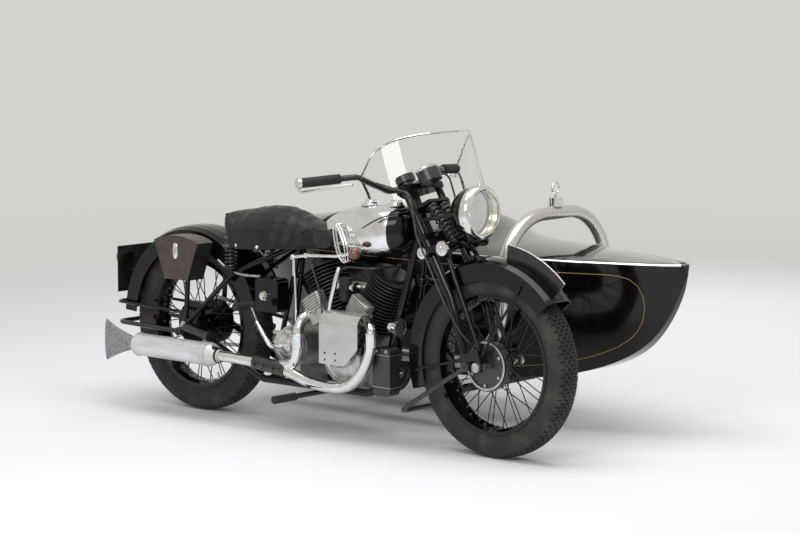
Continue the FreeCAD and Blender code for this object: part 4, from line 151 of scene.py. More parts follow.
def make_world():
    world = bpy.data.worlds.new("studio")
    world.use_nodes = True
    bpy.context.scene.world = world
    tree = world.node_tree
    light = tree.nodes["Background"]
    light.inputs["Color"].default_value = (1, 1, 1, 1)
    light.inputs["Strength"].default_value = 0.55
    backdrop = tree.nodes.new("ShaderNodeBackground")
    backdrop.inputs["Color"].default_value = BACKDROP
    backdrop.inputs["Strength"].default_value = 1
    sky = mixed(tree, seen_directly(tree), light.outputs[0], backdrop.outputs[0])
    tree.links.new(sky, tree.nodes["World Output"].inputs["Surface"])


def floor_paint():
    """Pale floor that passes into the backdrop's colour away from the machine."""
    shader = Shader("floor")
    shader.set(roughness=0.9, specular=0.1, colour=FLOOR)
    tree = shader.tree
    place = tree.nodes.new("ShaderNodeNewGeometry")
    length = tree.nodes.new("ShaderNodeVectorMath")
    length.operation = "LENGTH"
    tree.links.new(place.outputs["Position"], length.inputs[0])
    reach = tree.nodes.new("ShaderNodeMapRange")
    reach.interpolation_type = "SMOOTHSTEP"
    reach.inputs["From Min"].default_value = 1.6
    reach.inputs["From Max"].default_value = 9
    tree.links.new(length.outputs["Value"], reach.inputs["Value"])
    share = reckoned(tree, "MULTIPLY", reach.outputs[0], seen_directly(tree))
    glow = tree.nodes.new("ShaderNodeEmission")
    glow.inputs["Color"].default_value = BACKDROP
    ground = mixed(tree, share, shader.surface.outputs[0], glow.outputs[0])
    tree.links.new(ground, tree.nodes["Material Output"].inputs["Surface"])
    return shader.material


def make_studio():
    make_world()
    middle = spot(900, 300, 500)
    soft_light("top_light", middle + Vector((0.4, -0.6, 3.4)), middle, 4.2, 95)
    soft_light("right_light", middle + Vector((1.6, -4.2, 2.0)), middle, 2.6, 60)
    soft_light("left_light", middle + Vector((-1.5, 4.4, 2.2)), middle, 2.6, 45, False)
    bpy.ops.mesh.primitive_grid_add(x_subdivisions=8, y_subdivisions=8, size=400)
    ground = bpy.context.object
    ground.name = "ground"
    ground.data.materials.append(floor_paint())


# Materials

SOCKETS = {
    "colour": "Base Color",
    "metallic": "Metallic",
    "roughness": "Roughness",
    "specular": "Specular IOR Level",
    "coat": "Coat Weight",
    "coat_roughness": "Coat Roughness",
    "sheen": "Sheen Weight",
    "transmission": "Transmission Weight",
    "ior": "IOR",
    "alpha": "Alpha",
}


class Shader:
    """A material under its own name, with the few textures that it is built from."""

    def __init__(self, name):
        self.material = bpy.data.materials.new(name)
        self.material.use_nodes = True
        self.tree = self.material.node_tree
        self.surface = self.tree.nodes["Principled BSDF"]
        self.bumps = None
        coordinates = self.tree.nodes.new("ShaderNodeTexCoord")
        self.place = coordinates.outputs["Object"]

    def set(self, **values):
        for name, value in values.items():
            self.surface.inputs[SOCKETS[name]].default_value = value
        return self

    def stretched(self, stretch):
        """The place on the surface, drawn out along an axis."""
        mapping = self.tree.nodes.new("ShaderNodeMapping")
        mapping.inputs["Scale"].default_value = stretch
        self.tree.links.new(self.place, mapping.inputs["Vector"])
        return mapping.outputs["Vector"]

    def texture(self, kind, scale, stretch=None):
        """A texture laid on the surface, scale in waves a metre."""
        texture = self.tree.nodes.new("ShaderNodeTex" + kind)
        texture.inputs["Scale"].default_value = scale
        place = self.stretched(stretch) if stretch else self.place
        self.tree.links.new(place, texture.inputs["Vector"])
        return texture

    def clouds(self, scale, detail=4, stretch=None):
        """Soft noise."""
        texture = self.texture("Noise", scale, stretch)
        texture.inputs["Detail"].default_value = detail
        return texture.outputs["Fac"]

    def cells(self, scale):
        """Small raised cells, like grain."""
        return self.texture("Voronoi", scale).outputs["Distance"]

    def waves(self, scale):
        """Even bands across the width."""
        texture = self.texture("Wave", scale)
        texture.bands_direction = "Y"
        return texture.outputs["Fac"]

    def pattern(self, name, numbers):
        """One of the textures, by its name."""
        return {"clouds": self.clouds, "cells": self.cells, "waves": self.waves}[name](*numbers)

    def ranged(self, value, low, high, start=0.3, end=0.7):
        """A texture's middle values spread between two others."""
        node = self.tree.nodes.new("ShaderNodeMapRange")
        node.inputs["From Min"].default_value = start
        node.inputs["From Max"].default_value = end
        node.inputs["To Min"].default_value = low
        node.inputs["To Max"].default_value = high
        self.tree.links.new(value, node.inputs["Value"])
        return node.outputs["Result"]

    def blend(self, share, first, second):
        """Two colours mixed by a share."""
        node = self.tree.nodes.new("ShaderNodeMix")
        node.data_type = "RGBA"
        self.tree.links.new(share, node.inputs[0])
        node.inputs[6].default_value = first
        node.inputs[7].default_value = second
        return node.outputs[2]

    def paint(self, colour):
        self.tree.links.new(colour, self.surface.inputs["Base Color"])
        return self

    def roughen(self, value):
        self.tree.links.new(value, self.surface.inputs["Roughness"])
        return self

    def emboss(self, height, depth, strength):
        """Raises the surface by a texture, depth in metres."""
        bump = self.tree.nodes.new("ShaderNodeBump")
        bump.inputs["Distance"].default_value = depth
        bump.inputs["Strength"].default_value = strength
        self.tree.links.new(height, bump.inputs["Height"])
        if self.bumps:
            self.tree.links.new(self.bumps, bump.inputs["Normal"])
        self.bumps = bump.outputs["Normal"]
        self.tree.links.new(self.bumps, self.surface.inputs["Normal"])
        return self


def shade(value, tint=(1, 1, 1)):
    """A grey, tinted."""
    return (value * tint[0], value * tint[1], value * tint[2], 1)


def recipe(slot, mix, colours, rough, between, relief, span=(0.3, 0.7), **values):
    """
    What a finish is built from: the slot that it would fill, which is not used, the clouds that mix its two
    colours, the clouds of its roughness with the two values that these lie between, its relief, the span of
    the mix that shows, and the values that stay fixed. Each relief is a pattern, its depth in metres, its
    strength and its numbers.
    """
    return {"slot": slot, "mix": mix, "colours": colours, "rough": rough, "between": between,
            "relief": relief, "span": span, "values": values}


DUSTY = (1, 0.97, 0.92)
RECIPES = {
    # Deep gloss stove enamel with a little dust and fine polishing marks
    "black_enamel": recipe(
        "black_enamel", (9,), (shade(0.002), shade(0.007, DUSTY)), (40,), (0.1, 0.16),
        [("clouds", 0.000004, 1, 300, 2)], (0.45, 0.8), coat=0.3, coat_roughness=0.04, specular=0.22),
    # Black paint of frame fittings, duller than the panels
    "satin_black": recipe(
        "black_enamel", (26,), (shade(0.008), shade(0.022, (1, 0.94, 0.86))), (60,), (0.25, 0.5),
        [("clouds", 0.0001, 1, 300)], coat=0.4, coat_roughness=0.2),
    # Old chrome plate, bright with faint hazing
    "chrome": recipe(
        "chrome", (18,), (shade(0.82, (0.98, 0.99, 1)), shade(0.66, DUSTY)), (55, 6), (0.04, 0.16),
        [("clouds", 0.00001, 1, 900, 2)], (0.4, 0.75), metallic=1),
    # Sand-cast aluminium, matte and grainy, with oil stains in its lows
    "cast_alloy": recipe(
        "aluminium", (40, 5), (shade(0.5, (1, 0.99, 0.96)), shade(0.34, (1, 0.95, 0.86))), (70,),
        (0.36, 0.58), [("clouds", 0.00025, 1, 650, 3)], (0.4, 0.8), metallic=0.9),
    # Machined and hand-polished aluminium
    "turned_alloy": recipe(
        "aluminium", (30,), (shade(0.74), shade(0.5, (1, 0.98, 0.95))), (80,), (0.2, 0.42),
        [("clouds", 0.00004, 1, 900, 2)], metallic=1),
    # The magneto shield's pressed sheet, dull and scuffed
    "sheet_alloy": recipe(
        "aluminium", (9, 7, (1, 1, 1.6)), (shade(0.6), shade(0.5, (1, 0.98, 0.94))),
        (90, 6, (1, 1, 5)), (0.3, 0.42), [("clouds", 0.00002, 1, 500, 3)], metallic=0.75),
    # Plain bright steel, faintly brushed
    "satin_steel": recipe(
        "satin_steel", (45,), (shade(0.6), shade(0.4, (1, 0.95, 0.9))), (120, 5), (0.25, 0.45),
        [("clouds", 0.00003, 1, 1200, 2)], metallic=1),
    # The pale satin plate of the silencer, rolled lengthways
    "silencer_coat": recipe(
        "satin_steel", (26, 8, (0.3, 1, 1)), (shade(0.74, (1, 1, 1.02)), shade(0.52, (1, 0.98, 0.96))),
        (60, 5, (0.2, 1, 1)), (0.3, 0.48), [("clouds", 0.00006, 1, 300, 4, (0.2, 1, 1))], (0.4, 0.75),
        metallic=0.55),
    # Weathered bare steel with small pits and a brown tinge
    "pitted_steel": recipe(
        "satin_steel", (150, 8), (shade(0.34), shade(0.12, (1.1, 0.9, 0.72))), (200,), (0.45, 0.7),
        [("clouds", 0.0005, 1, 400, 5)], (0.5, 0.68), metallic=0.6),
    # Black heat-proof paint over rough iron, browned where it burns off
    "cast_iron": recipe(
        "cast_iron", (30, 7), (shade(0.014), shade(0.05, (1.15, 0.9, 0.72))), (90,), (0.42, 0.62),
        [("clouds", 0.0004, 1, 380, 4)], (0.52, 0.75), metallic=0.1),
    # Black rubber with road dust in its grooves
    "tyre_rubber": recipe(
        "tyre_rubber", (14, 8), (shade(0.02, (1.04, 1, 0.94)), shade(0.046, (1.1, 1, 0.86))), (80,),
        (0.55, 0.78), [("clouds", 0.00025, 1, 260, 4)], (0.45, 0.72), specular=0.35),
    # Grips, knee pads and footrest rubbers
    "moulded_rubber": recipe(
        "rubber", (40, 6), (shade(0.014), shade(0.032)), (120,), (0.5, 0.7),
        [("clouds", 0.00015, 1, 500, 3)], specular=0.3),
    # Black leather, its grain opened by sitting and its high places polished
    "saddle_leather": recipe(
        "leather", (12, 6), (shade(0.006, (0.95, 1, 1.1)), shade(0.015, (0.98, 1, 1.04))), (60,), (0.3, 0.52),
        [("cells", 0.0004, 0.6, 420), ("clouds", 0.0012, 0.5, 60, 5)], (0.42, 0.74),
        specular=0.32, sheen=0.03),
    # The tool boxes' dark brown cover, lightly stippled
    "brown_enamel": recipe(
        "tool_box_paint", (24, 7), ((0.032, 0.019, 0.016, 1), (0.075, 0.047, 0.04, 1)), (90,), (0.3, 0.5),
        [("cells", 0.0003, 0.5, 500)], (0.42, 0.75), coat=0.35, coat_roughness=0.25),
    # The sidecar arch's pale grey gloss
    "arch_enamel": recipe(
        "arch_paint", (7, 3), (shade(0.66, (1, 0.99, 0.96)), shade(0.58, DUSTY)), (50,), (0.2, 0.26),
        [("clouds", 0.000006, 1, 400, 2)], coat=0.5, coat_roughness=0.1, metallic=0.75),
    # The screen's clear pane
    "clear_glass": recipe(
        "glass", (8,), ((0.97, 0.99, 0.98, 1), (0.93, 0.96, 0.95, 1)), (25,), (0, 0.05),
        [("clouds", 0.0002, 1, 12, 1)], transmission=1, ior=1.46),
    # The tail lamp's beaded red glass
    "red_lens": recipe(
        "red_lens", (60,), ((0.3, 0.008, 0.006, 1), (0.16, 0.005, 0.005, 1)), (90,), (0.08, 0.2),
        [("cells", 0.0006, 1, 240)], transmission=0.4, coat=0.8),
    # The crankcase's dull casting, darkened by oil mist
    "crankcase_alloy": recipe(
        "crankcase_alloy", (18, 7), (shade(0.46), shade(0.16, (1.05, 0.92, 0.8))), (60,), (0.4, 0.62),
        [("clouds", 0.0003, 1, 560, 3)], (0.4, 0.7), metallic=0.85),
    # The sidecar deck's deep polished black, which mirrors what is round it
    "deck_enamel": recipe(
        "black_enamel", (6,), (shade(0.004), shade(0.012, DUSTY)), (20,), (0.05, 0.09),
        [("clouds", 0.000002, 1, 200, 2)], (0.45, 0.8), coat=1, coat_roughness=0.02, specular=0.5),
    # The lamp's bowl, warm bright silver a little tarnished
    "silvered": recipe(
        "chrome", (14, 3), ((1, 0.95, 0.78, 1), (0.95, 0.84, 0.6, 1)), (60,), (0.12, 0.26),
        [("clouds", 0.0002, 1, 90, 2)], metallic=0.5),
    # The bulb's frosted glass
    "bulb_glass": recipe(
        "glass", (60,), ((0.85, 0.83, 0.78, 1), (0.7, 0.66, 0.58, 1)), (90,), (0.15, 0.3),
        [("clouds", 0.0001, 1, 200, 2)], coat=0.6),
    # The lamp's lens, pressed in upright flutes
    "fluted_glass": recipe(
        "glass", (20,), ((0.98, 0.99, 0.97, 1), (0.92, 0.94, 0.9, 1)), (40,), (0.02, 0.08),
        [("waves", 0.0012, 1, 22)], alpha=0.07, coat=0.15, coat_roughness=0.03),
    # Hand-drawn gold lining with a little unevenness
    "gold_line": recipe(
        "chrome", (50,), ((0.42, 0.26, 0.07, 1), (0.27, 0.16, 0.05, 1)), (90,), (0.3, 0.5),
        [("clouds", 0.00003, 1, 300)], metallic=0.35, coat=0.4),
    # The clock's black dial
    "dial_face": recipe(
        "black_enamel", (60,), (shade(0.02), shade(0.035)), (120,), (0.4, 0.55),
        [("clouds", 0.00002, 1, 400)], specular=0.3),
    # Painted marks and the needle of the clock
    "dial_white": recipe(
        "arch_paint", (90,), (shade(0.72, (1, 0.98, 0.9)), shade(0.55, (1, 0.95, 0.82))), (120,), (0.4, 0.6),
        [("clouds", 0.00002, 1, 400)]),
    # The gear knob's mottled brown moulding
    "brown_knob": recipe(
        "rubber", (60, 5), ((0.16, 0.06, 0.03, 1), (0.08, 0.03, 0.018, 1)), (90,), (0.2, 0.35),
        [("clouds", 0.00004, 1, 300)], coat=0.8, coat_roughness=0.06),
    # The blank number plates' smooth black
    "plate_enamel": recipe(
        "black_enamel", (20,), (shade(0.006), shade(0.018)), (50,), (0.14, 0.28),
        [("clouds", 0.00002, 1, 500, 2)], coat=0.6, coat_roughness=0.08, specular=0.35),
}
PAINTS = {}


def finish_of(name):
    """The material of a finish, made once by its recipe."""
    if name in PAINTS:
        return PAINTS[name]
    parts = RECIPES[name]
    shader = Shader(name).set(**parts["values"])
    share = shader.ranged(shader.clouds(*parts["mix"]), 0, 1, *parts["span"])
    shader.paint(shader.blend(share, *parts["colours"]))
    shader.roughen(shader.ranged(shader.clouds(*parts["rough"]), *parts["between"]))
    for pattern, depth, strength, *numbers in parts["relief"]:
        shader.emboss(shader.pattern(pattern, numbers), depth, strength)
    PAINTS[name] = shader.material
    return shader.material


# Forms

def on_fork(ahead, side, along):
    """A place beside the steering axis, along measured from the ground up it."""
    rake = math.radians(RAKE)
    return spot(AXIS_FOOT + ahead * math.cos(rake) - along * math.sin(rake), side,
                ahead * math.sin(rake) + along * math.cos(rake))


def square_to(axis):
    """Two directions square to an axis and to each other."""
    axis = axis.normalized()
    first = axis.orthogonal().normalized()
    return first, axis.cross(first)


def turns(count):
    """Angles all the way round, evenly spaced."""
    return [math.tau * step / count for step in range(count)]


def spread(first, last, count):
    """Numbers evenly spaced from first to last."""
    return [first + (last - first) * step / (count - 1) for step in range(count)]


def way_at(points, number):
    """The way that a line of points runs at one of them."""
    before = points[max(number - 1, 0)]
    after = points[min(number + 1, len(points) - 1)]
    return (after - before).normalized()


class Form:
    """Geometry gathered in one mesh before it becomes a piece. Lengths are in millimetres."""

    def __init__(self):
        self.mesh = bmesh.new()

    def strip(self, rows, closed=True):
        """Faces between rows of points, each row closed on itself where asked."""
        made = [[self.mesh.verts.new(point) for point in row] for row in rows]
        count = len(made[0])
        for low, high in zip(made, made[1:]):
            for step in range(count if closed else count - 1):
                after = (step + 1) % count
                self.mesh.faces.new((low[step], low[after], high[after], high[step]))
        return made

    def tube(self, rows):
        """A strip of closed rows with a face over each end."""
        made = self.strip(rows)
        self.mesh.faces.new(made[0][::-1])
        self.mesh.faces.new(made[-1])
        return self

    def turned(self, centre, axis, outline, steps=40, caps=True):
        """An outline of radius and place along an axis, turned about it."""
        axis = Vector(axis).normalized()
        first, second = square_to(axis)
        rows = []
        for radius, along in outline:
            row = []
            for turn in turns(steps):
                around = first * math.cos(turn) + second * math.sin(turn)
                row.append(centre + (axis * along + around * max(radius, LEAST_RADIUS)) * MM)
            rows.append(row)
        if caps:
            self.tube(rows)
        else:
            self.strip(rows)
        return self

    def run(self, points, radius, steps=12):
        """A round bar along points."""
        rows = []
        side = None
        for number, point in enumerate(points):
            along = way_at(points, number)
            side = along.orthogonal() if side is None else side - along * side.dot(along)
            side.normalize()
            other = along.cross(side)
            rows.append([point + (side * math.cos(turn) + other * math.sin(turn)) * radius * MM
                         for turn in turns(steps)])
        return self.tube(rows)

    def bolt(self, centre, axis, across, height):
        """A six-sided head with a chamfered top on a round washer."""
        corner = across / math.sqrt(3)
        washer = corner * 1.3
        self.turned(centre, axis, [(washer, 0), (washer, height * 0.2), (corner * 0.5, height * 0.2)], 16)
        return self.turned(centre, axis, [(corner, 0), (corner, height * 0.8), (corner * 0.8, height)], 6)

    def made(self, name, body, finish, angle=35):
        """Turns what is gathered into a piece that rides on a body."""
        bmesh.ops.recalc_face_normals(self.mesh, faces=self.mesh.faces)
        data = bpy.data.meshes.new(name)
        self.mesh.to_mesh(data)
        self.mesh.free()
        for face in data.polygons:
            face.use_smooth = True
        data.set_sharp_from_angle(angle=math.radians(angle))
        data.materials.append(finish_of(finish))
        piece = bpy.data.objects.new(name, data)
        bpy.context.scene.collection.objects.link(piece)
        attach(piece, body)
        return piece


def softened(points, rounds=3):
    """A bent line with its corners cut again and again until it is smooth."""
    for _ in range(rounds):
        eased = [points[0]]
        for first, last in zip(points, points[1:]):
            eased.append(first.lerp(last, 0.25))
            eased.append(first.lerp(last, 0.75))
        points = eased + [points[-1]]
    return points


def met(node, start, way):
    """Where a line from a place meets a node or piece, and how its surface faces there."""
    target = frame["nodes"][node] if isinstance(node, str) else node
    hit, point, normal, _ = target.ray_cast(start, Vector(way).normalized())
    return (point, normal) if hit else (None, None)


def traced(node, starts, way, lift=0):
    """Where lines from a row of places meet a node or piece, each point lifted off its surface."""
    found = [met(node, start, way) for start in starts]
    return [point + normal * lift * MM for point, normal in found if point]


def centre_of(node):
    """The middle of a node's box."""
    low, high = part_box(node)
    return (low + high) / 2


def end_of(node, ahead):
    """The middle of a node's front face, or of its rear face."""
    low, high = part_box(node)
    middle = (low + high) / 2
    middle.x = high.x if ahead else low.x
    return middle


# Tyres

TREAD_PITCHES = 76
TREAD_DEPTH = 5.5
TREAD_LINES = (0.0, 0.04, 0.16, 0.20, 0.5, 0.54, 0.66, 0.70)
TREAD_ROWS = ((0, 5.5, "even"), (8, 18.5, "odd"), (21, 31, "even"), (34, 44.5, "odd"))


def tyre_section(radius, half_width):
    """The tyre's outline from its middle out to its bead: place across, radius and kind of tread."""
    def crown(across):
        return radius - 9.5 * (across / 44.5) ** 2.4

    section = []
    for inner, outer, kind in TREAD_ROWS:
        if inner:
            section.append((inner - 0.6, crown(inner), "groove"))
        section.append((inner, crown(inner), kind))
        section.append((outer, crown(outer), kind))
        if outer < 44:
            section.append((outer + 0.6, crown(outer), "groove"))
    section.append((half_width * 0.9, radius - 15, "side"))
    section.append((half_width * 0.93, radius - 16.5, "side"))
    for across, drop in ((0.965, 26), (0.995, 38), (1.0, 46), (0.985, 54), (0.99, 56), (0.97, 60), (0.9, 70),
                         (0.78, 80), (0.72, 84), (0.71, 93)):
        section.append((half_width * across, radius - drop, "side"))
    return section


def tyre_piece(node, body):
    """A treaded tyre in the place of its plain solid."""
    low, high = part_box(node)
    middle = (low + high) / 2
    radius = (high.z - low.z) / 2 / MM
    half = tyre_section(radius, (high.y - low.y) / 2 / MM)
    section = [(-across, reach, kind) for across, reach, kind in reversed(half[1:])] + half
    form = Form()
    rows = []
    for pitch in range(TREAD_PITCHES):
        for number, share in enumerate(TREAD_LINES):
            turn = math.tau * (pitch + share) / TREAD_PITCHES
            row = []
            for across, reach, kind in section:
                cut_even = kind == "even" and number in (1, 2)
                cut_odd = kind == "odd" and number in (5, 6)
                depth = TREAD_DEPTH if kind == "groove" or cut_even or cut_odd else 0
                row.append(middle + Vector(((reach - depth) * math.cos(turn), across,
                                            (reach - depth) * math.sin(turn))) * MM)
            rows.append(row)
    form.strip(rows + [rows[0]], closed=False)
    bmesh.ops.remove_doubles(form.mesh, verts=form.mesh.verts, dist=0.00001)
    piece = form.made(node + "_treaded", body, "tyre_rubber", 28)
    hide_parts(node)


def tyres():
    """All three tyres."""
    for name in ("front", "rear", "sidecar"):
        tyre_piece(name + "_tyre", name + "_wheel")


# Springs

COIL_STEPS = 18


def coil(form, foot, head, radius, wire, rounds):
    """A wire wound round the line from foot to head."""
    axis = head - foot
    first, second = square_to(axis)
    points = []
    for step in range(rounds * COIL_STEPS + 1):
        turn = math.tau * step / COIL_STEPS
        share = step / (rounds * COIL_STEPS)
        points.append(foot + axis * share + (first * math.cos(turn) + second * math.sin(turn)) * radius * MM)
    form.run(points, wire, 8)


def fork_springs():
    """The paired coil springs ahead of the steering head."""
    form = Form()
    for side in RIGHT_AND_LEFT:
        foot = on_fork(132, 30 * side, 803)
        head = on_fork(91, 30 * side, 965)
        coil(form, foot, head, 18.5, 3.4, 9)
        axis = head - foot
        form.turned(foot, axis, [(21.5, 0), (21.5, 5), (15, 9), (12, 20)], 24)
        form.turned(head, axis, [(12, -20), (15, -9), (21.5, -5), (21.5, 0)], 24)
        form.run([foot, head], 11, 16)
    piece = form.made("fork_spring_coils", "steering", "satin_black")
    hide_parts("fork_springs")


def saddle_coils():
    """The saddle's two rear coil springs and its nose bolt."""
    form = Form()
    for side in RIGHT_AND_LEFT:
        foot = spot(262, 112 * side, 590)
        head = spot(262, 112 * side, 706)
        coil(form, foot, head, 21.5, 3.6, 8)
        form.turned(foot, UPWARD, [(25, -1.5), (25, 3), (14, 6)], 24)
        form.turned(head, UPWARD, [(14, -6), (25, -3), (25, 2)], 24)
        form.run([foot, head], 7, 12)
    form.turned(spot(628, 0, 742), UPWARD, [(15, 0), (15, 10), (8, 12)], 20)
    piece = form.made("saddle_coils", "chassis", "satin_black")
    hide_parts("saddle_springs")


# Padded leather

def filled(piece, voxel, cap):
    """Fills a closed cover by cloth simulation, no point moving further than a cap."""
    bpy.context.view_layer.objects.active = piece
    remesh = piece.modifiers.new("even", "REMESH")
    remesh.mode = "VOXEL"
    remesh.voxel_size = voxel * MM
    settle_mesh(piece)
    piece.modifiers.clear()
    start = [point.co.copy() for point in piece.data.vertices]
    cloth = piece.modifiers.new("fill", "CLOTH")
    cloth.settings.use_pressure = True
    cloth.settings.uniform_pressure_force = CLOTH_PRESSURE
    cloth.settings.effector_weights.gravity = 0
    cloth.point_cache.frame_end = CLOTH_FRAMES
    for number in range(1, CLOTH_FRAMES + 1):
        bpy.context.scene.frame_set(number)
    settle_mesh(piece)
    piece.modifiers.clear()
    for point, before in zip(piece.data.vertices, start):
        move = point.co - before
        if move.length > cap * MM:
            point.co = before + move.normalized() * cap * MM
    bpy.context.scene.frame_set(1)


def stuffed(piece, voxel, cap):
    """Fills a leather cover and smooths it."""
    filled(piece, voxel, cap)
    smooth = piece.modifiers.new("smooth", "SUBSURF")
    smooth.levels = 1
    smooth.render_levels = 1
    if not piece.data.materials:
        piece.data.materials.append(finish_of("saddle_leather"))


def settle_mesh(piece):
    """Keeps a piece's mesh as its modifiers leave it."""
    shaped = piece.evaluated_get(bpy.context.evaluated_depsgraph_get())
    data = bpy.data.meshes.new_from_object(shaped)
    piece.data = data
    for face in data.polygons:
        face.use_smooth = True


def eased(rows, along, column):
    """A column of a short table at any place along, smoothly between its rows."""
    for before, after in zip(rows, rows[1:]):
        if along <= after[0]:
            part = (along - before[0]) / (after[0] - before[0])
            part = part * part * (3 - 2 * part)
            return before[column] * (1 - part) + after[column] * part
    return rows[-1][column]


SADDLE_ROWS = (
    # Place ahead, half-width, skirt's hem and top in millimetres, and how round the section is
    (204, 84, 766, 799, 0.4),
    (222, 110, 740, 800, 0.5),
    (244, 124, 708, 801, 0.7),
    (282, 136, 668, 806, 0.95),
    (340, 143, 664, 818, 1.1),
    (400, 142, 666, 826, 1.2),
    (460, 130, 669, 828, 1.15),
    (520, 110, 673, 820, 1.1),
    (570, 90, 676, 805, 0.95),
    (620, 72, 680, 790, 0.7),
    (660, 64, 684, 783, 0.5),
    (684, 58, 688, 779, 0.45),
    (694, 50, 693, 775, 0.4),
)
NOSE_PATCH = ((535, 690), (552, 708), (574, 726), (596, 742), (622, 756), (648, 766), (668, 770), (676, 752),
              (672, 730), (668, 708), (660, 696), (620, 694), (580, 690), (550, 686), (535, 690))
SADDLE_SKIN = 8
SADDLE_STUFFING = 30
SADDLE_SECTIONS = 35
SADDLE_BESIDE = 260
NOSE_MIDDLE = (625, 722)


def saddle_ring(ahead, skin, stuffing):
    """One cross section of the saddle, from hem to hem over the top, drawn in as its lining."""
    half = eased(SADDLE_ROWS, ahead, 1) - skin
    hem = eased(SADDLE_ROWS, ahead, 2)
    top = eased(SADDLE_ROWS, ahead, 3) - stuffing
    shoulder = hem + 10
    square = eased(SADDLE_ROWS, ahead, 4)
    points = [(half * 0.97, hem), (half, hem * 0.5 + shoulder * 0.5)]
    for step in range(13):
        turn = math.pi * step / 12
        points.append((half * math.cos(turn), shoulder + (top - shoulder) * math.sin(turn) ** square))
    points += [(-half, hem * 0.5 + shoulder * 0.5), (-half * 0.97, hem)]
    return [spot(ahead, across, up) for across, up in points]


def saddle():
    """The leather saddle: a stuffed top with a deep skirt."""
    form = Form()
    rows = []
    for ahead in spread(SADDLE_ROWS[0][0], SADDLE_ROWS[-1][0], SADDLE_SECTIONS):
        skin = saddle_ring(ahead, 0, 0)
        lining = saddle_ring(ahead, SADDLE_SKIN, SADDLE_STUFFING)
        rows.append(skin + lining[::-1])
    made = form.strip(rows)
    half = len(rows[0]) // 2
    for end in (made[0], made[-1]):
        for step in range(half - 1):
            form.mesh.faces.new((end[step], end[step + 1], end[-2 - step], end[-1 - step]))
    piece = form.made("saddle_cover", "chassis", "saddle_leather", 60)
    stuffed(piece, 5, 7)
    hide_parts("saddle")
    saddle_trim(piece)


def sewn(form, cover, starts, way, thread, steps=8, clear=20):
    """A cord laid where lines from a row of places meet the cover, clear of its middle."""
    line = [point for point in traced(cover, starts, way) if abs(point.y - ORIGIN.y) >= clear * MM]
    if len(line) > 4:
        form.run(softened(line, 1), thread, steps)


def saddle_trim(cover):
    """The welts of the flanks, the cord of the rear edge, the stitched nose patch and the chrome buttons."""
    bpy.context.view_layer.update()
    welts = Form()
    seams = Form()
    buttons = Form()
    for side in RIGHT_AND_LEFT:
        inward = (0, -side, 0)
        beside = SADDLE_BESIDE * side
        for share in (0.04, 0.55):
            starts = []
            for ahead in spread(236, 652, 40):
                hem = eased(SADDLE_ROWS, ahead, 2) + 6
                top = eased(SADDLE_ROWS, ahead, 3) - 18
                starts.append(spot(ahead, beside, hem + (top - hem) * share))
            sewn(welts, cover, starts, inward, 2.4)
        middle, height = NOSE_MIDDLE
        for scale, thread in ((1, 2), (0.86, 1.1)):
            starts = [spot(middle + (ahead - middle) * scale, beside, height + (up - height) * scale)
                      for ahead, up in NOSE_PATCH]
            sewn(seams, cover, starts, inward, thread)
    for ahead, up in ((322, 684), (428, 684)):
        for side in RIGHT_AND_LEFT:
            point, normal = met(cover, spot(ahead, SADDLE_BESIDE * side, up), (0, -side, 0))
            if point:
                buttons.turned(point, normal, [(7, -1), (7, 1.2), (5, 3.2), (1, 4)], 18)
    lip = Form()
    starts = [spot(120, across, 790) for across in spread(-122, 122, 25)]
    sewn(lip, cover, starts, AHEAD, 5, 10, 0)
    welts.made("saddle_welts", "chassis", "saddle_leather")
    lip.made("saddle_lip", "chassis", "saddle_leather")
    seams.made("saddle_nose_seams", "chassis", "saddle_leather")
    buttons.made("saddle_buttons", "chassis", "chrome")


def pad(name, low, high, taper):
    """A plain stuffed box, narrower below."""
    form = Form()
    bmesh.ops.create_cube(form.mesh, size=1)
    bmesh.ops.subdivide_edges(form.mesh, edges=form.mesh.edges, cuts=9, use_grid_fill=True)
    middle = (low + high) / 2
    span = high - low
    for point in form.mesh.verts:
        rise = point.co.z + 0.5
        point.co.y *= taper + (1 - taper) * rise
        shrink = 1 - 0.07 * (abs(point.co.x * 2) ** 6 + abs(point.co.z * 2) ** 6)
        point.co.y *= shrink
        point.co = middle + Vector((point.co.x * span.x, point.co.y * span.y, point.co.z * span.z))
    piece = form.made(name, "chassis", "saddle_leather", 60)
    stuffed(piece, 6, 12)
    return piece


def pleated(piece, pitch, depth, facing):
    """Sews channels into the side of a pad that faces a way."""
    facing = Vector(facing)
    piece.data.update()
    normals = [point.normal.copy() for point in piece.data.vertices]
    for point, normal in zip(piece.data.vertices, normals):
        if normal.dot(facing) > 0.35:
            place = (point.co.y - ORIGIN.y) / MM % pitch - pitch / 2
            point.co -= facing * depth * math.exp(-(place / (pitch * 0.11)) ** 2) * MM * normal.dot(facing)


def sidecar_seat():
    """The passenger's cushion and the pleated squab behind it."""
    low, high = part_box("sidecar_seat")
    gap = 12 * MM
    squab_front = low.x + 90 * MM
    seat_top = low.z + 176 * MM
    squab = pad("seat_squab", Vector((low.x + gap, low.y + gap, low.z + gap)),
                Vector((squab_front - gap, high.y - gap, high.z - gap)), 0.62)
    cushion = pad("seat_cushion", Vector((squab_front + gap, low.y + gap * 2, low.z + gap)),
                  Vector((high.x - gap, high.y - gap * 2, seat_top - gap)), 0.7)
    pleated(squab, 42, 7, AHEAD)
    pleated(cushion, 42, 6, UPWARD)
    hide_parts("sidecar_seat")
    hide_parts("sidecar_seat")


# Headlamp

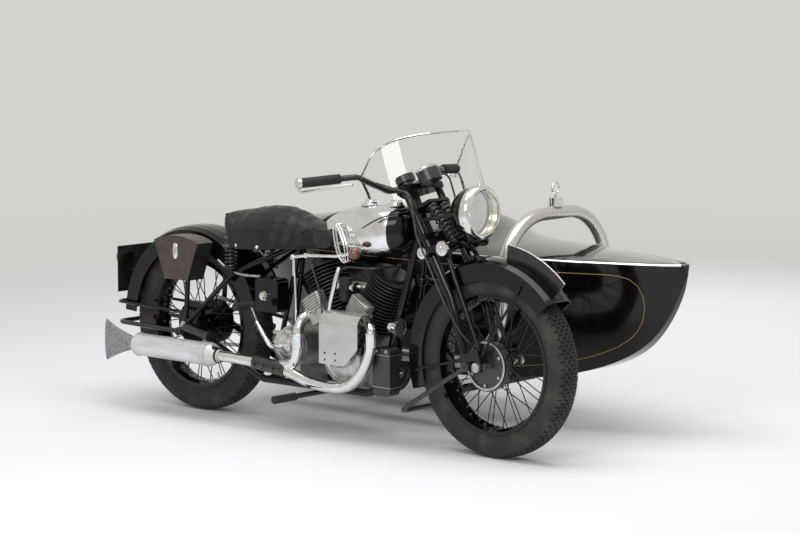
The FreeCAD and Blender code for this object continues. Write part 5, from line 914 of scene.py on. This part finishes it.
# Outlines of radius and place along, from the front of the glass
SHELL_OUTLINE = ((8, -138), (42, -130), (58, -122), (72, -108), (84, -88), (90, -70), (92, -56), (92, -44),
                 (89, -44), (87, -68), (70, -102), (40, -124), (8, -130))
RIM_OUTLINE = ((92.5, -50), (98, -48), (100, -42), (99.6, -28), (97, -19), (91, -13), (84, -11),
               (80, -12.5), (79, -17), (88, -22), (92.5, -40))
BULB_OUTLINE = ((9, -108), (9, -92), (6, -90), (10, -84), (14, -74), (13, -64), (7, -57), (1, -55))
LENS_OUTLINE = ((86, -19), (80, -12.8), (62, -6.4), (31, -1.3), (1, -0.1), (1, -2.5), (31, -3.8), (62, -9),
                (80, -15.5))


def headlamp():
    """The hollow lamp: black shell, silvered bowl, bulb, glass and its broad bright rim."""
    front = end_of("headlamp_glass", True)
    shell = Form()
    shell.turned(front, AHEAD, SHELL_OUTLINE, 56)
    for side in RIGHT_AND_LEFT:
        ear = front + Vector((-62, 88 * side, 0)) * MM
        clamp = on_fork(56, 90 * side, 926)
        shell.run(softened([clamp, ear.lerp(clamp, 0.45), ear]), 7, 12)
        shell.turned(ear, (0, side, 0), [(15, -4), (15, 6), (9, 9)], 20)
        shell.bolt(ear + Vector((0, 9 * side * MM, 0)), (0, side, 0), 12, 4)
    body = shell.made("headlamp_body", "steering", "black_enamel")
    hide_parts("headlamp_shell")
    piece = Form().turned(front, AHEAD, RIM_OUTLINE, 64).made("headlamp_band", "steering", "chrome")
    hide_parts("headlamp_rim")
    reaches = spread(10, 90, 14)
    inside = [(reach, -106 + 82 * (reach / 90) ** 2) for reach in reaches]
    outside = [(reach, -108 + 82 * (reach / 90) ** 2) for reach in reversed(reaches)]
    Form().turned(front, AHEAD, inside + outside, 56).made("headlamp_bowl", "steering", "silvered")
    Form().turned(front, AHEAD, BULB_OUTLINE, 24).made("headlamp_bulb", "steering", "bulb_glass")
    lens = Form().turned(front, AHEAD, LENS_OUTLINE, 64)
    piece = lens.made("headlamp_lens", "steering", "fluted_glass", 50)
    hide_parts("headlamp_glass")
    trim = Form()
    trim.turned(front + Vector((-34, 0, 99)) * MM, UPWARD, [(5, -2), (5, 2), (3.2, 6), (1.4, 12),
                                                               (0.5, 15)], 16)
    trim.bolt(front + Vector((-32, -94, -32)) * MM, (0, -1, -0.34), 8, 4)
    trim.made("headlamp_peak", "steering", "chrome")


BLADE_WIDTHS = (26.6, 31, 35, 37, 37, 32, 27)
BLADE_HALF_THICK = 13.3


def fork_blades():
    """The fork's rigid legs, broad flattened tubes that taper to their feet."""
    form = Form()
    for side in RIGHT_AND_LEFT:
        foot = on_fork(14, 90 * side, 400)
        knee = on_fork(58, 90 * side, 600)
        top = on_fork(55, 90 * side, 1040)
        points = [foot, foot.lerp(knee, 0.5), foot.lerp(knee, 0.8), knee.lerp(top, 0.06), knee.lerp(top, 0.4),
                  knee.lerp(top, 0.75), top]
        rows = []
        for number, point in enumerate(points):
            broad = Vector((0, 1, 0)).cross(way_at(points, number))
            rows.append([point + (broad * math.cos(turn) * BLADE_WIDTHS[number] / 2
                                  + Vector((0, math.sin(turn) * BLADE_HALF_THICK, 0))) * MM
                         for turn in turns(24)])
        form.tube(rows)
    form.made("fork_blades", "steering", "black_enamel")


# Engine

CRANK = spot(825, 0, 300)
CYLINDER_LEAN = 30


def ring_of_bolts(form, centre, radius, count, start, across, height):
    """Bolt heads set round a centre on a face that looks to the right."""
    for turn in turns(count):
        place = centre + Vector((math.cos(start + turn), 0, math.sin(start + turn))) * radius * MM
        form.bolt(place, OUTWARD, across, height)


TIMING_COVER = spot(825, -92, 300)
GEARBOX_COVER = spot(574, -126, 318)


def engine_covers():
    """The polished timing and gearbox covers with their screws and the timing cover's cap."""
    screws = Form()
    ring_of_bolts(screws, TIMING_COVER, 86, 9, 0.2, 8, 4)
    ring_of_bolts(screws, GEARBOX_COVER, 57, 8, 0.3, 9, 5)
    ring_of_bolts(screws, spot(574, -96, 318), 73, 8, 0, 8, 5)
    screws.made("engine_screws", "chassis", "satin_steel")
    covers = Form()
    covers.turned(TIMING_COVER, OUTWARD, [(92, -1), (92, 2), (78, 3.4), (76, 1.6), (40, 1.8), (38, 7),
                                          (34, 9), (1, 10)], 56)
    covers.turned(GEARBOX_COVER, OUTWARD, [(64, -1), (64, 2), (50, 3.4), (48, 1.6), (26, 1.8), (24, 8),
                                           (20, 10), (1, 10.4)], 48)
    covers.turned(spot(825, -101, 300), OUTWARD, [(15, 0), (15, 5), (12, 7), (6, 7.6), (1, 7.6)], 24)
    covers.made("engine_cover_plates", "chassis", "turned_alloy")


def port_nuts():
    """The finned ring nuts that hold the exhaust pipes."""
    nuts = Form()
    lean = math.radians(CYLINDER_LEAN)
    outline = [(25, 0), (25, 2)]
    for start in (3, 9, 15):
        outline += [(31, start), (31, start + 3), (26, start + 3.2), (26, start + 5.8)]
    outline.append((25, 22))
    for sign in (1, -1):
        port = CRANK + Vector((math.sin(lean) * sign * 204, -109.4, math.cos(lean) * 204)) * MM
        out = Vector((math.cos(lean) * sign, 0, -math.sin(lean)))
        nuts.turned(port + out * 24 * MM, out, outline, 32)
    nuts.made("exhaust_ring_nuts", "chassis", "chrome")


FRONT_PIPE = ((927, -109.4, 476.7), (968.6, -109.4, 452.7), (1042.2, -168, 436.6), (1040, -168, 350),
              (994.6, -168, 262), (916.5, -168, 198), (751.8, -168, 196), (600.5, -172, 243.9),
              (400, -199, 261), (292, -200, 262))
REAR_PIPE = ((723, -109.4, 476.7), (681.4, -109.4, 452.7), (668, -160, 425), (672, -168, 330),
             (655, -168, 262), (575, -176, 248), (480, -190, 256))


def exhaust():
    """The chrome pipes, swept from each port to the silencer, with their sleeves and the clamped collar."""
    form = Form()
    for places in (FRONT_PIPE, REAR_PIPE):
        form.run(softened(spots(places)), 20.6, 24)
    piece = form.made("exhaust_sweep", "chassis", "chrome", 50)
    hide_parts("exhaust_pipes")
    sleeves = Form()
    for place in spots(((1041, -168, 392), (671, -166, 352))):
        sleeves.turned(place, UPWARD, [(20, -26), (23.5, -24), (24, 22), (25.5, 24), (25.5, 29),
                                          (21, 31)], 28)
    sleeves.made("exhaust_sleeves", "chassis", "chrome")
    collar = Form()
    collar.run(spots(((470, -191, 258), (544, -184, 249), (612, -174, 240))), 27, 28)
    for place in spots(((488, -217, 254), (530, -213, 250), (574, -207, 245))):
        collar.bolt(place, OUTWARD, 11, 5)
    collar.made("exhaust_collar", "chassis", "satin_black")


def damper_rings():
    """The bright rings round the fork's friction discs."""
    form = Form()
    for ahead, up, radius in ((1346, 748, 26), (1251, 724, 21)):
        form.turned(spot(ahead, -127, up), OUTWARD, [(radius - 5, -6), (radius, -5), (radius, 3),
                                                     (radius - 5, 4)], 36)
        form.bolt(spot(ahead, -131, up), OUTWARD, 15, 6)
    form.made("damper_rings", "steering", "chrome")


def valve_chests():
    """The pressed alloy covers over each barrel's valves, finned across their upper half."""
    form = Form()
    corner = 6
    levels = [(0, 36, 134), (2, 39, 137), (46, 44, 137), (48, 42, 134)]
    for up in range(50, 110, 10):
        levels += [(up, 46, 139), (up + 4, 46, 139), (up + 4.4, 42, 133), (up + 9.6, 42, 133)]
    levels += [(110, 46, 138), (113, 43, 134)]
    for sign in (1, -1):
        lean = math.radians(CYLINDER_LEAN * sign)
        along = Vector((math.sin(lean), 0, math.cos(lean)))
        broad = Vector((math.cos(lean), 0, -math.sin(lean)))
        root = CRANK + along * 148 * MM
        rows = []
        for up, half, out in levels:
            section = ((-half, 96), (-half, out - corner), (-half + corner, out), (half - corner, out),
                       (half, out - corner), (half, 96))
            rows.append([root + (along * up + broad * across) * MM + Vector((0, -face * MM, 0))
                         for across, face in section])
        form.tube(rows)
        form.bolt(root + along * 45 * MM + Vector((0, -135 * MM, 0)), OUTWARD, 13, 8)
    piece = form.made("valve_chests", "chassis", "cast_alloy")
    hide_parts("valve_covers")


def small_fittings():
    """The oil box's filler cap, the bright pipe and sleeve of the carburettor, and black discs of painted
    shade where the shield's holes are.
    """
    form = Form()
    low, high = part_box("oil_tank")
    place = Vector(((low.x + high.x) / 2 - 8 * MM, low.y, low.z + 62 * MM))
    form.turned(place, OUTWARD, [(17, -1), (17, 3), (13, 4), (13, 8), (15.5, 9), (15.5, 15), (12, 17),
                                 (1, 17.5)], 28)
    form.run(spots(((851, -132, 640), (846, -146, 600), (826, -150, 520), (815, -150, 474))), 8.5, 16)
    form.turned(spot(838, -62, 560), AHEAD, [(16, -62), (22, -60), (22, -55), (17.6, -53), (17.6, 26),
                                                 (22, 28), (22, 33), (16, 35)], 28)
    form.made("bright_fittings", "chassis", "chrome")
    # Black discs on the shield stand for its holes: painted shade, not cut holes
    hole_shade_discs = Form()
    for place in spots(((851, -212, 333), (903, -212, 335), (851, -212, 308), (903, -212, 309))):
        hole_shade_discs.turned(place, OUTWARD, [(4.6, -1), (4.6, 0.5), (3.4, 0.6), (1, 0.4)], 16)
    hole_shade_discs.made("shield_hole_painted_shade", "chassis", "satin_black")


GATE_PLACES = ((848, 800), (873, 772), (893, 727), (902, 668), (884, 662), (853, 698), (834, 790))
KNOB_PLACE = (945, -150, 701)
KNOB_RADIUS = 24
LINK_PLACES = ((626, -141, 662), (695, -141, 673), (851, -141, 683), (928, -149, 698))
ROD_PLACES = ((628, -141, 664), (632, -141, 584), (637, -140, 464), (628, -136, 380), (604, -128, 345))
CAP_PLACES = ((906, -20), (1022, -8))
TUBE_PLACES = ((189, -110, 614), (238, -112, 587), (314, -115, 567), (422, -112, 570))


def gear_gate():
    """The gear lever's bright link, rod and gate, its brown ball knob, the oil pipe and the tank's cable."""
    form = Form()
    for side in (-136, -150):
        form.run(softened([spot(ahead, side, up) for ahead, up in GATE_PLACES + GATE_PLACES[:1]]), 3, 10)
    for ahead, up in GATE_PLACES[::3]:
        form.run([spot(ahead, -116, up), spot(ahead, -152, up)], 4, 10)
    form.run(spots(LINK_PLACES), 6.5, 14)
    form.turned(spot(695, -141, 673), (1, 0, 0.09), [(8, -9), (11, -7), (11, 7), (8, 9)], 20)
    form.turned(spot(626, -141, 662), OUTWARD, [(11, -12), (11, 9), (8, 12)], 20)
    form.run(softened(spots(ROD_PLACES), 2), 4.2, 12)
    form.turned(spot(628, -141, 624), UPWARD, [(4.5, -32), (7, -30), (7, 30), (4.5, 32)], 18)
    piece = form.made("gear_lever", "chassis", "chrome")
    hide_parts("gear_change")
    knob = Form()
    outline = [(KNOB_RADIUS * math.sin(turn), -KNOB_RADIUS * math.cos(turn))
               for turn in spread(0, math.pi, 13)]
    knob.turned(spot(*KNOB_PLACE), (1, 0, 0.35), outline, 32)
    knob.made("gear_knob", "chassis", "brown_knob")
    Form().run(softened(spots(TUBE_PLACES)), 5, 12).made("oil_pipe", "chassis", "satin_steel")
    starts = [spot(955 + 150 * share, -300, 792 + 61 * math.sin(math.pi / 2 * share))
              for share in spread(0, 1, 16)]
    cable = Form().run(traced("petrol_tank", starts, (0, 1, 0), 1.5), 2.2, 8)
    cable.made("tank_cable", "chassis", "satin_black")


def filler_caps():
    """The two low filler caps of the tank, each with a wing to turn it by."""
    form = Form()
    for ahead, across in CAP_PLACES:
        point, _ = met("petrol_tank", spot(ahead, across, 1000), (0, 0, -1))
        point += Vector((0, 0, -3 * MM))
        form.turned(point, (-0.12, 0, 1), [(35, 0), (35, 5), (32, 7), (31, 12), (27, 15), (10, 16), (8, 19),
                                           (1, 20)], 40)
        form.run([point + Vector((-26, 0, 20)) * MM, point + Vector((26, 0, 22)) * MM], 3.6, 10)
    piece = form.made("tank_caps", "chassis", "chrome")
    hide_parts("filler_caps")


PLATE_EDGE_REACH = 431.6


def front_plate_edge():
    """The bright rolled edge of the blank plate on the front mudguard."""
    form = Form()
    for side in RIGHT_AND_LEFT:
        line = []
        for angle in spread(46, 84, 25):
            turn = math.radians(angle)
            line.append(spot(FRONT_WHEEL_AHEAD + math.cos(turn) * PLATE_EDGE_REACH, 1.6 * side,
                             FRONT_WHEEL_UP + math.sin(turn) * PLATE_EDGE_REACH))
        form.run(line, 1.5, 8)
    form.made("front_plate_edge", "steering", "satin_steel")


def silencer_bands():
    """The rolled joints of the silencer, and its black clamp with the bolt."""
    centre = spot(0, -200, 262)
    bands = Form()
    for along in (236, 214, -160):
        place = centre + Vector((along * MM, 0, 0))
        bands.turned(place, AHEAD, [(43.5, -3.5), (46.4, -2.4), (47, 0), (46.4, 2.4), (43.5, 3.5)], 48)
    bands.made("silencer_joints", "chassis", "silencer_coat")
    clamp = Form()
    place = centre + Vector((272 * MM, 0, 0))
    clamp.turned(place, AHEAD, [(27, -17), (29.5, -16), (29.5, 15), (27, 16)], 40)
    ear = place + Vector((0, -12 * MM, 30 * MM))
    clamp.run([ear - Vector((13 * MM, 0, 0)), ear + Vector((13 * MM, 0, 0))], 5.5, 12)
    clamp.bolt(ear + Vector((0, -5 * MM, 0)), OUTWARD, 12, 6)
    clamp.made("silencer_clamp", "chassis", "satin_black")


def horn_face():
    """The horn's bright ring and dished front."""
    outline = ((33, -3), (34, -2), (33.5, 0.5), (29, 0.2), (27, -3), (12, -4), (10, -1), (1, -0.6))
    Form().turned(end_of("horn", True), AHEAD, outline).made("horn_front", "chassis", "chrome")


def battery_fittings():
    """The bright bands round the battery and the nuts of its lid."""
    low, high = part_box("battery_box")
    off = Vector((1.2, 1.2, 0)) * MM
    near = low - off
    far = high + off
    corners = ((near.x, near.y), (far.x, near.y), (far.x, far.y), (near.x, far.y), (near.x, near.y))
    form = Form()
    for up in (high.z - 26 * MM, low.z + 34 * MM):
        form.run([Vector((x, y, up)) for x, y in corners], 1.6, 8)
    form.made("battery_bands", "chassis", "satin_steel")
    nuts = Form()
    for x in (low.x + 18 * MM, high.x - 18 * MM):
        nuts.bolt(Vector((x, low.y, high.z - 12 * MM)), OUTWARD, 9, 5)
    nuts.made("battery_nuts", "chassis", "satin_steel")


def magneto_details():
    """The rivets of the magneto's shield, and the dark end caps in front of it."""
    form = Form()
    for ahead in (842, 992):
        point, normal = met("magneto_shield", spot(ahead, -300, 452), (0, 1, 0))
        if point:
            form.turned(point, normal, [(5.5, -0.5), (5.5, 1), (3.5, 2.4), (0.8, 2.8)], 16)
    form.made("shield_rivets", "chassis", "satin_steel")
    face = Form()
    face.turned(spot(987, -166, 404), AHEAD, [(34, -14), (37, -10), (37, 2), (34, 8), (24, 12), (22, 10),
                                                  (10, 11), (8, 15), (1, 15)], 40)
    face.turned(spot(992, -164, 348), AHEAD, [(17, -20), (19, -16), (19, 4), (15, 8), (1, 9)], 28)
    face.made("magneto_cap", "chassis", "satin_black")


# Controls

NEEDLE_TURN = -2.4


STAR_POINTS = 6
STAR_LEVELS = ((0.7, 0), (1, 0.2), (1, 0.75), (0.86, 1), (0.3, 1.02))


def star(centre, axis, radius, depth):
    """A lobed hand knob."""
    axis = Vector(axis).normalized()
    first, second = square_to(axis)
    rows = []
    for share, rise in STAR_LEVELS:
        row = []
        for turn in turns(72):
            reach = radius * share * (0.88 + 0.12 * math.cos(STAR_POINTS * turn))
            around = first * math.cos(turn) + second * math.sin(turn)
            row.append(centre + (axis * depth * rise + around * reach) * MM)
        rows.append(row)
    return Form().tube(rows)


def steering_knob():
    """The steering damper's star knob with its chrome cap."""
    axis = on_fork(0, 0, 1) - on_fork(0, 0, 0)
    star(on_fork(0, 0, 1104), axis, 37, 21).made("damper_star", "steering", "moulded_rubber")
    cap = Form().turned(on_fork(0, 0, 1124), axis, [(13, 0), (13, 3), (9, 4.6), (1, 5)], 28)
    cap.made("damper_cap", "steering", "chrome")


def clock():
    """The clock's chrome bezel, dial, marks and needle."""
    axis = (on_fork(0, 0, 1) - on_fork(0, 0, 0)).normalized()
    top = on_fork(111.4, 0, 1103)
    bezel = ((42.4, -8), (43.4, -6), (43.4, -1), (41, 1.4), (37.5, 1), (36.5, -2.4))
    Form().turned(top, axis, bezel, 56).made("clock_bezel", "steering", "chrome")
    dial = ((38, 0.1), (37.6, 0.5), (1, 0.6))
    Form().turned(top, axis, dial, 48).made("clock_dial", "steering", "dial_face")
    marks = Form()
    first = (on_fork(1, 0, 0) - on_fork(0, 0, 0)).normalized()
    second = axis.cross(first)
    raised = top + axis * 0.9 * MM
    for number in range(31):
        turn = math.radians(-150 + 10 * number)
        way = -first * math.cos(turn) + second * math.sin(turn)
        inner, thick = (30, 0.7) if number % 5 else (26, 1)
        marks.run([raised + way * inner * MM, raised + way * 34 * MM], thick, 6)
    way = -first * math.cos(NEEDLE_TURN) + second * math.sin(NEEDLE_TURN)
    needle = top + axis * 1.4 * MM
    marks.run([needle - way * 7 * MM, needle + way * 26 * MM], 0.9, 6)
    marks.turned(top, axis, [(3.4, 0.6), (3.4, 2.4), (1, 2.6)], 16)
    marks.made("clock_marks", "steering", "dial_white")


RIB_PITCH = 9.4


def grip_ends():
    """Ribbed rubber sleeves over the bar's grips, with bright end caps."""
    form = Form()
    caps = Form()
    for side in RIGHT_AND_LEFT:
        outer = on_fork(-98.4, 410 * side, 1179.8)
        inner = on_fork(-20.5, 221.4 * side, 1151.1)
        way = (inner - outer).normalized()
        for step in range(15):
            centre = outer + way * (RIB_PITCH * step) * MM
            form.turned(centre, way, [(16.8, -3.2), (18.2, -1.6), (18.2, 1.6), (16.8, 3.2)], 28)
        caps.turned(outer - way * 22 * MM, way, [(1, -1.4), (8, -1), (11.5, 0.5), (11.5, 9)], 24)
    form.made("grip_ribs", "steering", "moulded_rubber")
    caps.made("bar_ends", "steering", "chrome")


# Tool boxes, plates and lamps at the rear

CLASP_LEVELS = ((1, 0.4), (1, 2.4), (0.84, 5), (0.4, 6.4), (0.1, 6.6))
SIDE_NAMES = ((-1, "right"), (1, "left"))


def toolbox_clasps():
    """The oval chrome clasp of each tool box with its handle, and the bead along the lid's edge."""
    for side, name in SIDE_NAMES:
        node = "toolbox_lid_" + name
        low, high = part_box(node)
        inward = (0, -side, 0)
        beside = 2 * side
        point, _ = met(node, Vector(((low.x + high.x) / 2, beside, low.z + 12 * MM)), inward)
        point = point - Vector((0, 0, 6 * MM))
        form = Form()
        form.tube(oval_rows(point, side, 13, 31, 36, CLASP_LEVELS))
        form.run([point + Vector((0, 5 * side, 20)) * MM, point + Vector((0, 9 * side, 4)) * MM,
                  point + Vector((0, 8 * side, -14)) * MM], 3.4, 10)
        form.made("clasp_" + name, node_body(node), "chrome")
        places = spread(low.x + 4 * MM, high.x - 4 * MM, 13)
        line = traced(node, [Vector((x, beside, low.z + 3 * MM)) for x in places], inward, 0.2)
        Form().run(line, 1.5, 8).made("lid_bead_" + name, node_body(node), "brown_enamel")


def node_body(node):
    """The body of a lid's own name where there is one, else the chassis."""
    return node if node in frame["bodies"] else "chassis"


PLATE_HALF = 91
PLATE_CORNER = 20
PLATE_TOP = 618
PLATE_FOOT = 442


def rear_plate_details():
    """The rear board's raised edge, its bolts and the lamp's rim."""
    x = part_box("rear_plate")[0].x
    inner = PLATE_HALF - PLATE_CORNER
    high = PLATE_TOP - PLATE_CORNER
    low = PLATE_FOOT + PLATE_CORNER
    outline = []
    for across, up, turn in ((inner, high, 0), (-inner, high, 90), (-inner, low, 180), (inner, low, 270)):
        for step in spread(turn, turn + 90, 7):
            angle = math.radians(step)
            point = spot(0, across + PLATE_CORNER * math.cos(angle), up + PLATE_CORNER * math.sin(angle))
            point.x = x + 0.6 * MM
            outline.append(point)
    edge = Form().run(outline + [outline[0]], 2.2, 8)
    edge.made("plate_edge", "chassis", "plate_enamel")
    bolts = Form()
    for side in RIGHT_AND_LEFT:
        place = spot(0, 50 * side, 458)
        place.x = x + 0.2 * MM
        bolts.bolt(place, AHEAD, 10, 3)
    bolts.turned(end_of("tail_lamp", False), (-1, 0, 0), [(30, -13), (31.2, -12), (31.2, -7), (29, -5.4),
                                                          (27.5, -7)], 40, caps=False)
    bolts.made("tail_lamp_rim", "chassis", "chrome")


def oval_rows(centre, way, long_half, high_half, steps, levels):
    """Rings of a rounded oval on a flank, each level a scale and a height."""
    rows = []
    for scale, out in levels:
        row = []
        for turn in turns(steps):
            across = math.copysign(abs(math.cos(turn)) ** 0.75, math.cos(turn)) * long_half * scale
            up = math.copysign(abs(math.sin(turn)) ** 0.75, math.sin(turn)) * high_half * scale
            row.append(centre + Vector((across, out * way, up)) * MM)
        rows.append(row)
    return rows


PAD_AHEAD = 760
PAD_UP = 739
PAD_LEVELS = ((1, -8), (1, 8), (0.95, 12), (0.85, 13.4), (0.3, 14))


def knee_pads():
    """The moulded knee pads, ribbed lengthways."""
    form = Form()
    for side in RIGHT_AND_LEFT:
        form.tube(oval_rows(spot(PAD_AHEAD, 118 * side, PAD_UP), side, 47, 36, 40, PAD_LEVELS))
        for up in range(717, 762, 11):
            half = 40 * math.sqrt(1 - ((up - PAD_UP) / 40) ** 2)
            form.run([spot(PAD_AHEAD + end * half, 131.4 * side, up) for end in (-1, 1)], 2.2, 8)
    piece = form.made("knee_pads", "chassis", "moulded_rubber")
    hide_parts("knee_grips")


# Sidecar trim

SIDECAR_LINE = 610


def beside_sidecar(ahead, side, up):
    """A place well outside the sidecar's flank."""
    return spot(ahead, SIDECAR_LINE + 420 * side, up)


def pinstripe():
    """The gold line round the hull's flanks, a little inside the outline."""
    for side, name in SIDE_NAMES:
        inward = (0, -side, 0)
        foot = []
        for ahead in spread(-250, 1776, 57):
            found = []
            for up in spread(176, 660, 60):
                point, normal = met("sidecar_hull", beside_sidecar(ahead, side, up), inward)
                if point and normal.y * side > 0.3:
                    found.append(up)
            if found and found[-1] - found[0] > 110:
                foot.append((ahead, found[0] + 42))
        loop = eased_loop([(ahead, 622) for ahead, _ in foot] + foot[::-1], 6)
        starts = [beside_sidecar(ahead, side, up) for ahead, up in loop + [loop[0]]]
        form = Form().run(traced("sidecar_hull", starts, inward, -0.4), 1.5, 8)
        form.made("gold_line_" + name, "chassis", "gold_line")


def eased_loop(points, rounds):
    """A closed loop of places with its corners worn round."""
    for _ in range(rounds):
        before = points[-1:] + points[:-1]
        after = points[1:] + points[:1]
        points = [((left + 2 * ahead + right) / 4, (below + 2 * up + above) / 4)
                  for (left, below), (ahead, up), (right, above) in zip(before, points, after)]
    return points


RAIL_UP = 665


def deck_rail():
    """The polished rail along the seam of hull and deck, and the deck's studs."""
    form = Form()
    studs = Form()
    for side in RIGHT_AND_LEFT:
        inward = (0, -side, 0)
        starts = [beside_sidecar(ahead, side, 660) for ahead in spread(-322, 1872, 90)]
        line = traced("sidecar_hull", starts, inward)
        for point in line:
            point.z = spot(0, 0, RAIL_UP).z
        form.run(line, 4.2, 10)
        for ahead in range(250, 951, 78):
            point, normal = met("sidecar_deck", beside_sidecar(ahead, side, 684), inward)
            if point:
                studs.turned(point, normal, [(6, -1), (6, 1), (4, 3.6), (1, 4.2)], 16)
    form.made("deck_rail", "chassis", "chrome")
    studs.made("deck_studs", "chassis", "chrome")


def screen_line(sign):
    """The screen's highest points all round, or with a minus sign its lowest ones."""
    middle = spot(580, SIDECAR_LINE, 0)
    best = {}
    for vertex in frame["nodes"]["sidecar_screen"].data.vertices:
        place = vertex.co
        turn = round(math.degrees(math.atan2(place.y - middle.y, place.x - middle.x)) / 4)
        if turn not in best or place.z * sign > best[turn].z * sign:
            best[turn] = place.copy()
    return [best[turn] for turn in sorted(best)]


def screen_frame():
    """The bright edge round the sidecar's screen and the rubber along its foot."""
    lowered = [point - Vector((0, 0, 4.8 * MM)) for point in screen_line(1)]
    Form().run(softened(lowered, 1), 4.2, 10).made("screen_edge", "chassis", "chrome")
    Form().run(softened(screen_line(-1), 1), 5.5, 10).made("screen_foot", "chassis", "moulded_rubber")


def cockpit_roll():
    """The padded leather roll round the cockpit's mouth."""
    edges = []
    centre = spot(543, SIDECAR_LINE, 0)
    above = Vector((0, 0, 1.2))
    for turn in turns(72):
        way = Vector((math.cos(turn), math.sin(turn), 0))
        for reach in range(60, 420, 6):
            point, _ = met("sidecar_deck", centre + way * reach * MM + above, (0, 0, -1))
            if point and point.z > 0.6:
                edges.append(point)
                break
    form = Form().run(edges + [edges[0]], 9, 12)
    form.made("cockpit_roll", "chassis", "saddle_leather")


# Wheels

def wheel_details():
    """The spoke nipples and the valve stem of each wheel."""
    for name in ("front", "rear", "sidecar"):
        axle = centre_of(name + "_tyre")
        form = Form()
        for number in range(40):
            turn = math.tau * (number + 0.5) / 40
            way = Vector((math.cos(turn), 0, math.sin(turn)))
            across = Vector((0, (7 if number % 2 else -7) * MM, 0))
            form.run([axle + way * 225 * MM + across, axle + way * RIM_REACH * MM + across], 3.4, 8)
        turn = math.radians(-70)
        way = Vector((math.cos(turn), 0, math.sin(turn)))
        form.run([axle + way * RIM_REACH * MM, axle + way * 204 * MM], 3, 8)
        form.made(name + "_nipples", name + "_wheel", "satin_steel")


def brake_plate_trim():
    """The raised ring of the front brake's plate and its bolts."""
    form = Form()
    centre = centre_of("front_brake_plate")
    centre.y = spot(0, -69, 0).y
    form.turned(centre, OUTWARD, [(88, -1), (88, 0.6), (84, 1.6), (80, 0.4)], 48, caps=False)
    ring_of_bolts(form, centre, 70, 6, 0.5, 8, 3.5)
    form.made("brake_plate_trim", "steering", "satin_steel")


# Which finish each node has

FINISHES = {
    "black_enamel": ("frame", "sidecar_hull", "sidecar_mudguard", "front_mudguard", "rear_mudguard",
                     "primary_case", "oil_tank", "fork_legs", "spring_fork", "headlamp_shell",
                     "sidecar_fittings", "front_wheel", "rear_wheel", "sidecar_wheel"),
    "plate_enamel": ("rear_plate",),
    "deck_enamel": ("sidecar_deck",),
    "satin_black": ("battery_box", "front_stand", "footrests", "saddle_springs", "magneto", "rear_stand",
                    "front_brake_plate", "control_cables", "handlebar", "speedometer", "fork_springs"),
    "chrome": ("petrol_tank", "filler_caps", "exhaust_pipes", "headlamp_rim", "horn", "kick_starter",
               "gear_change", "arch_cap"),
    "turned_alloy": ("valve_covers", "carburettor"),
    "cast_alloy": ("gearbox",),
    "sheet_alloy": ("magneto_shield",),
    "satin_steel": ("front_axle", "rear_axle", "sidecar_axle", "rear_chain"),
    "silencer_coat": ("silencer",),
    "cast_iron": ("cylinders",),
    "tyre_rubber": ("front_tyre", "rear_tyre", "sidecar_tyre"),
    "moulded_rubber": ("grips", "knee_grips"),
    "saddle_leather": ("saddle", "sidecar_seat"),
    "brown_enamel": ("toolboxes", "toolbox_lid_left", "toolbox_lid_right"),
    "arch_enamel": ("sidecar_chassis",),
    "clear_glass": ("headlamp_glass", "sidecar_screen"),
    "red_lens": ("tail_lamp",),
    "crankcase_alloy": ("crankcase",),
}


def paint_nodes():
    """Gives every node of the frame its material."""
    for finish, names in FINISHES.items():
        for name in names:
            slots = frame["nodes"][name].data.materials
            slots.clear()
            slots.append(finish_of(finish))
    for name, finish, inside in SECOND_FINISHES:
        second_finish(name, finish, inside)


def second_finish(name, finish, inside):
    """Gives the faces of a node that lie in some place a finish of their own."""
    data = frame["nodes"][name].data
    data.materials.append(finish_of(finish))
    number = len(data.materials) - 1
    for face in data.polygons:
        place = (face.center - ORIGIN) / MM
        if inside(place, face.normal):
            face.material_index = number


def along_fork(place):
    """How far up the steering axis a place lies."""
    rake = math.radians(RAKE)
    return (AXIS_FOOT - place.x) * math.sin(rake) + place.z * math.cos(rake)


def from_front_wheel(place):
    """How far from the front wheel's middle a place lies, seen from the side."""
    return math.hypot(place.x - FRONT_WHEEL_AHEAD, place.z - FRONT_WHEEL_UP)


SECOND_FINISHES = (
    ("handlebar", "chrome", lambda place, face: abs(place.y) > 200 and along_fork(place) < 1141),
    ("handlebar", "chrome", lambda place, face: abs(place.y) > 398),
    ("silencer", "pitted_steel", lambda place, face: place.x < -189),
    ("front_mudguard", "plate_enamel",
     lambda place, face: abs(place.y) < 5 and from_front_wheel(place) > 382),
    ("carburettor", "cast_iron", lambda place, face: abs(place.x - 825) < 30),
    ("petrol_tank", "black_enamel", lambda place, face: place.x > 1052 or place.z < 700),
    ("kick_starter", "moulded_rubber", lambda place, face: place.y < -200),
    ("footrests", "moulded_rubber", lambda place, face: abs(place.y) > 205),
    ("fork_legs", "chrome", lambda place, face: abs(place.y) > 121 and abs(face.y) < 0.5),
    ("toolboxes", "satin_black", lambda place, face: abs(face.x) > 0.6),
    ("toolbox_lid_right", "satin_black", lambda place, face: abs(face.x) > 0.6),
    ("toolbox_lid_left", "satin_black", lambda place, face: abs(face.x) > 0.6),
    ("tail_lamp", "black_enamel", lambda place, face: place.x > -404),
)


def make_pieces():
    """Every piece that the plain frame lacks."""
    tyres()
    wheel_details()
    brake_plate_trim()
    fork_springs()
    saddle_coils()
    saddle()
    sidecar_seat()
    headlamp()
    fork_blades()
    clock()
    steering_knob()
    grip_ends()
    engine_covers()
    exhaust()
    valve_chests()
    small_fittings()
    front_plate_edge()
    port_nuts()
    silencer_bands()
    horn_face()
    battery_fittings()
    magneto_details()
    toolbox_clasps()
    rear_plate_details()
    knee_pads()
    damper_rings()
    gear_gate()
    filler_caps()
    pinstripe()
    deck_rail()
    screen_frame()
    cockpit_roll()


make_camera()
make_studio()
paint_nodes()
make_pieces()
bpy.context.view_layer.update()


bpy.context.scene.view_settings.view_transform = "Standard"
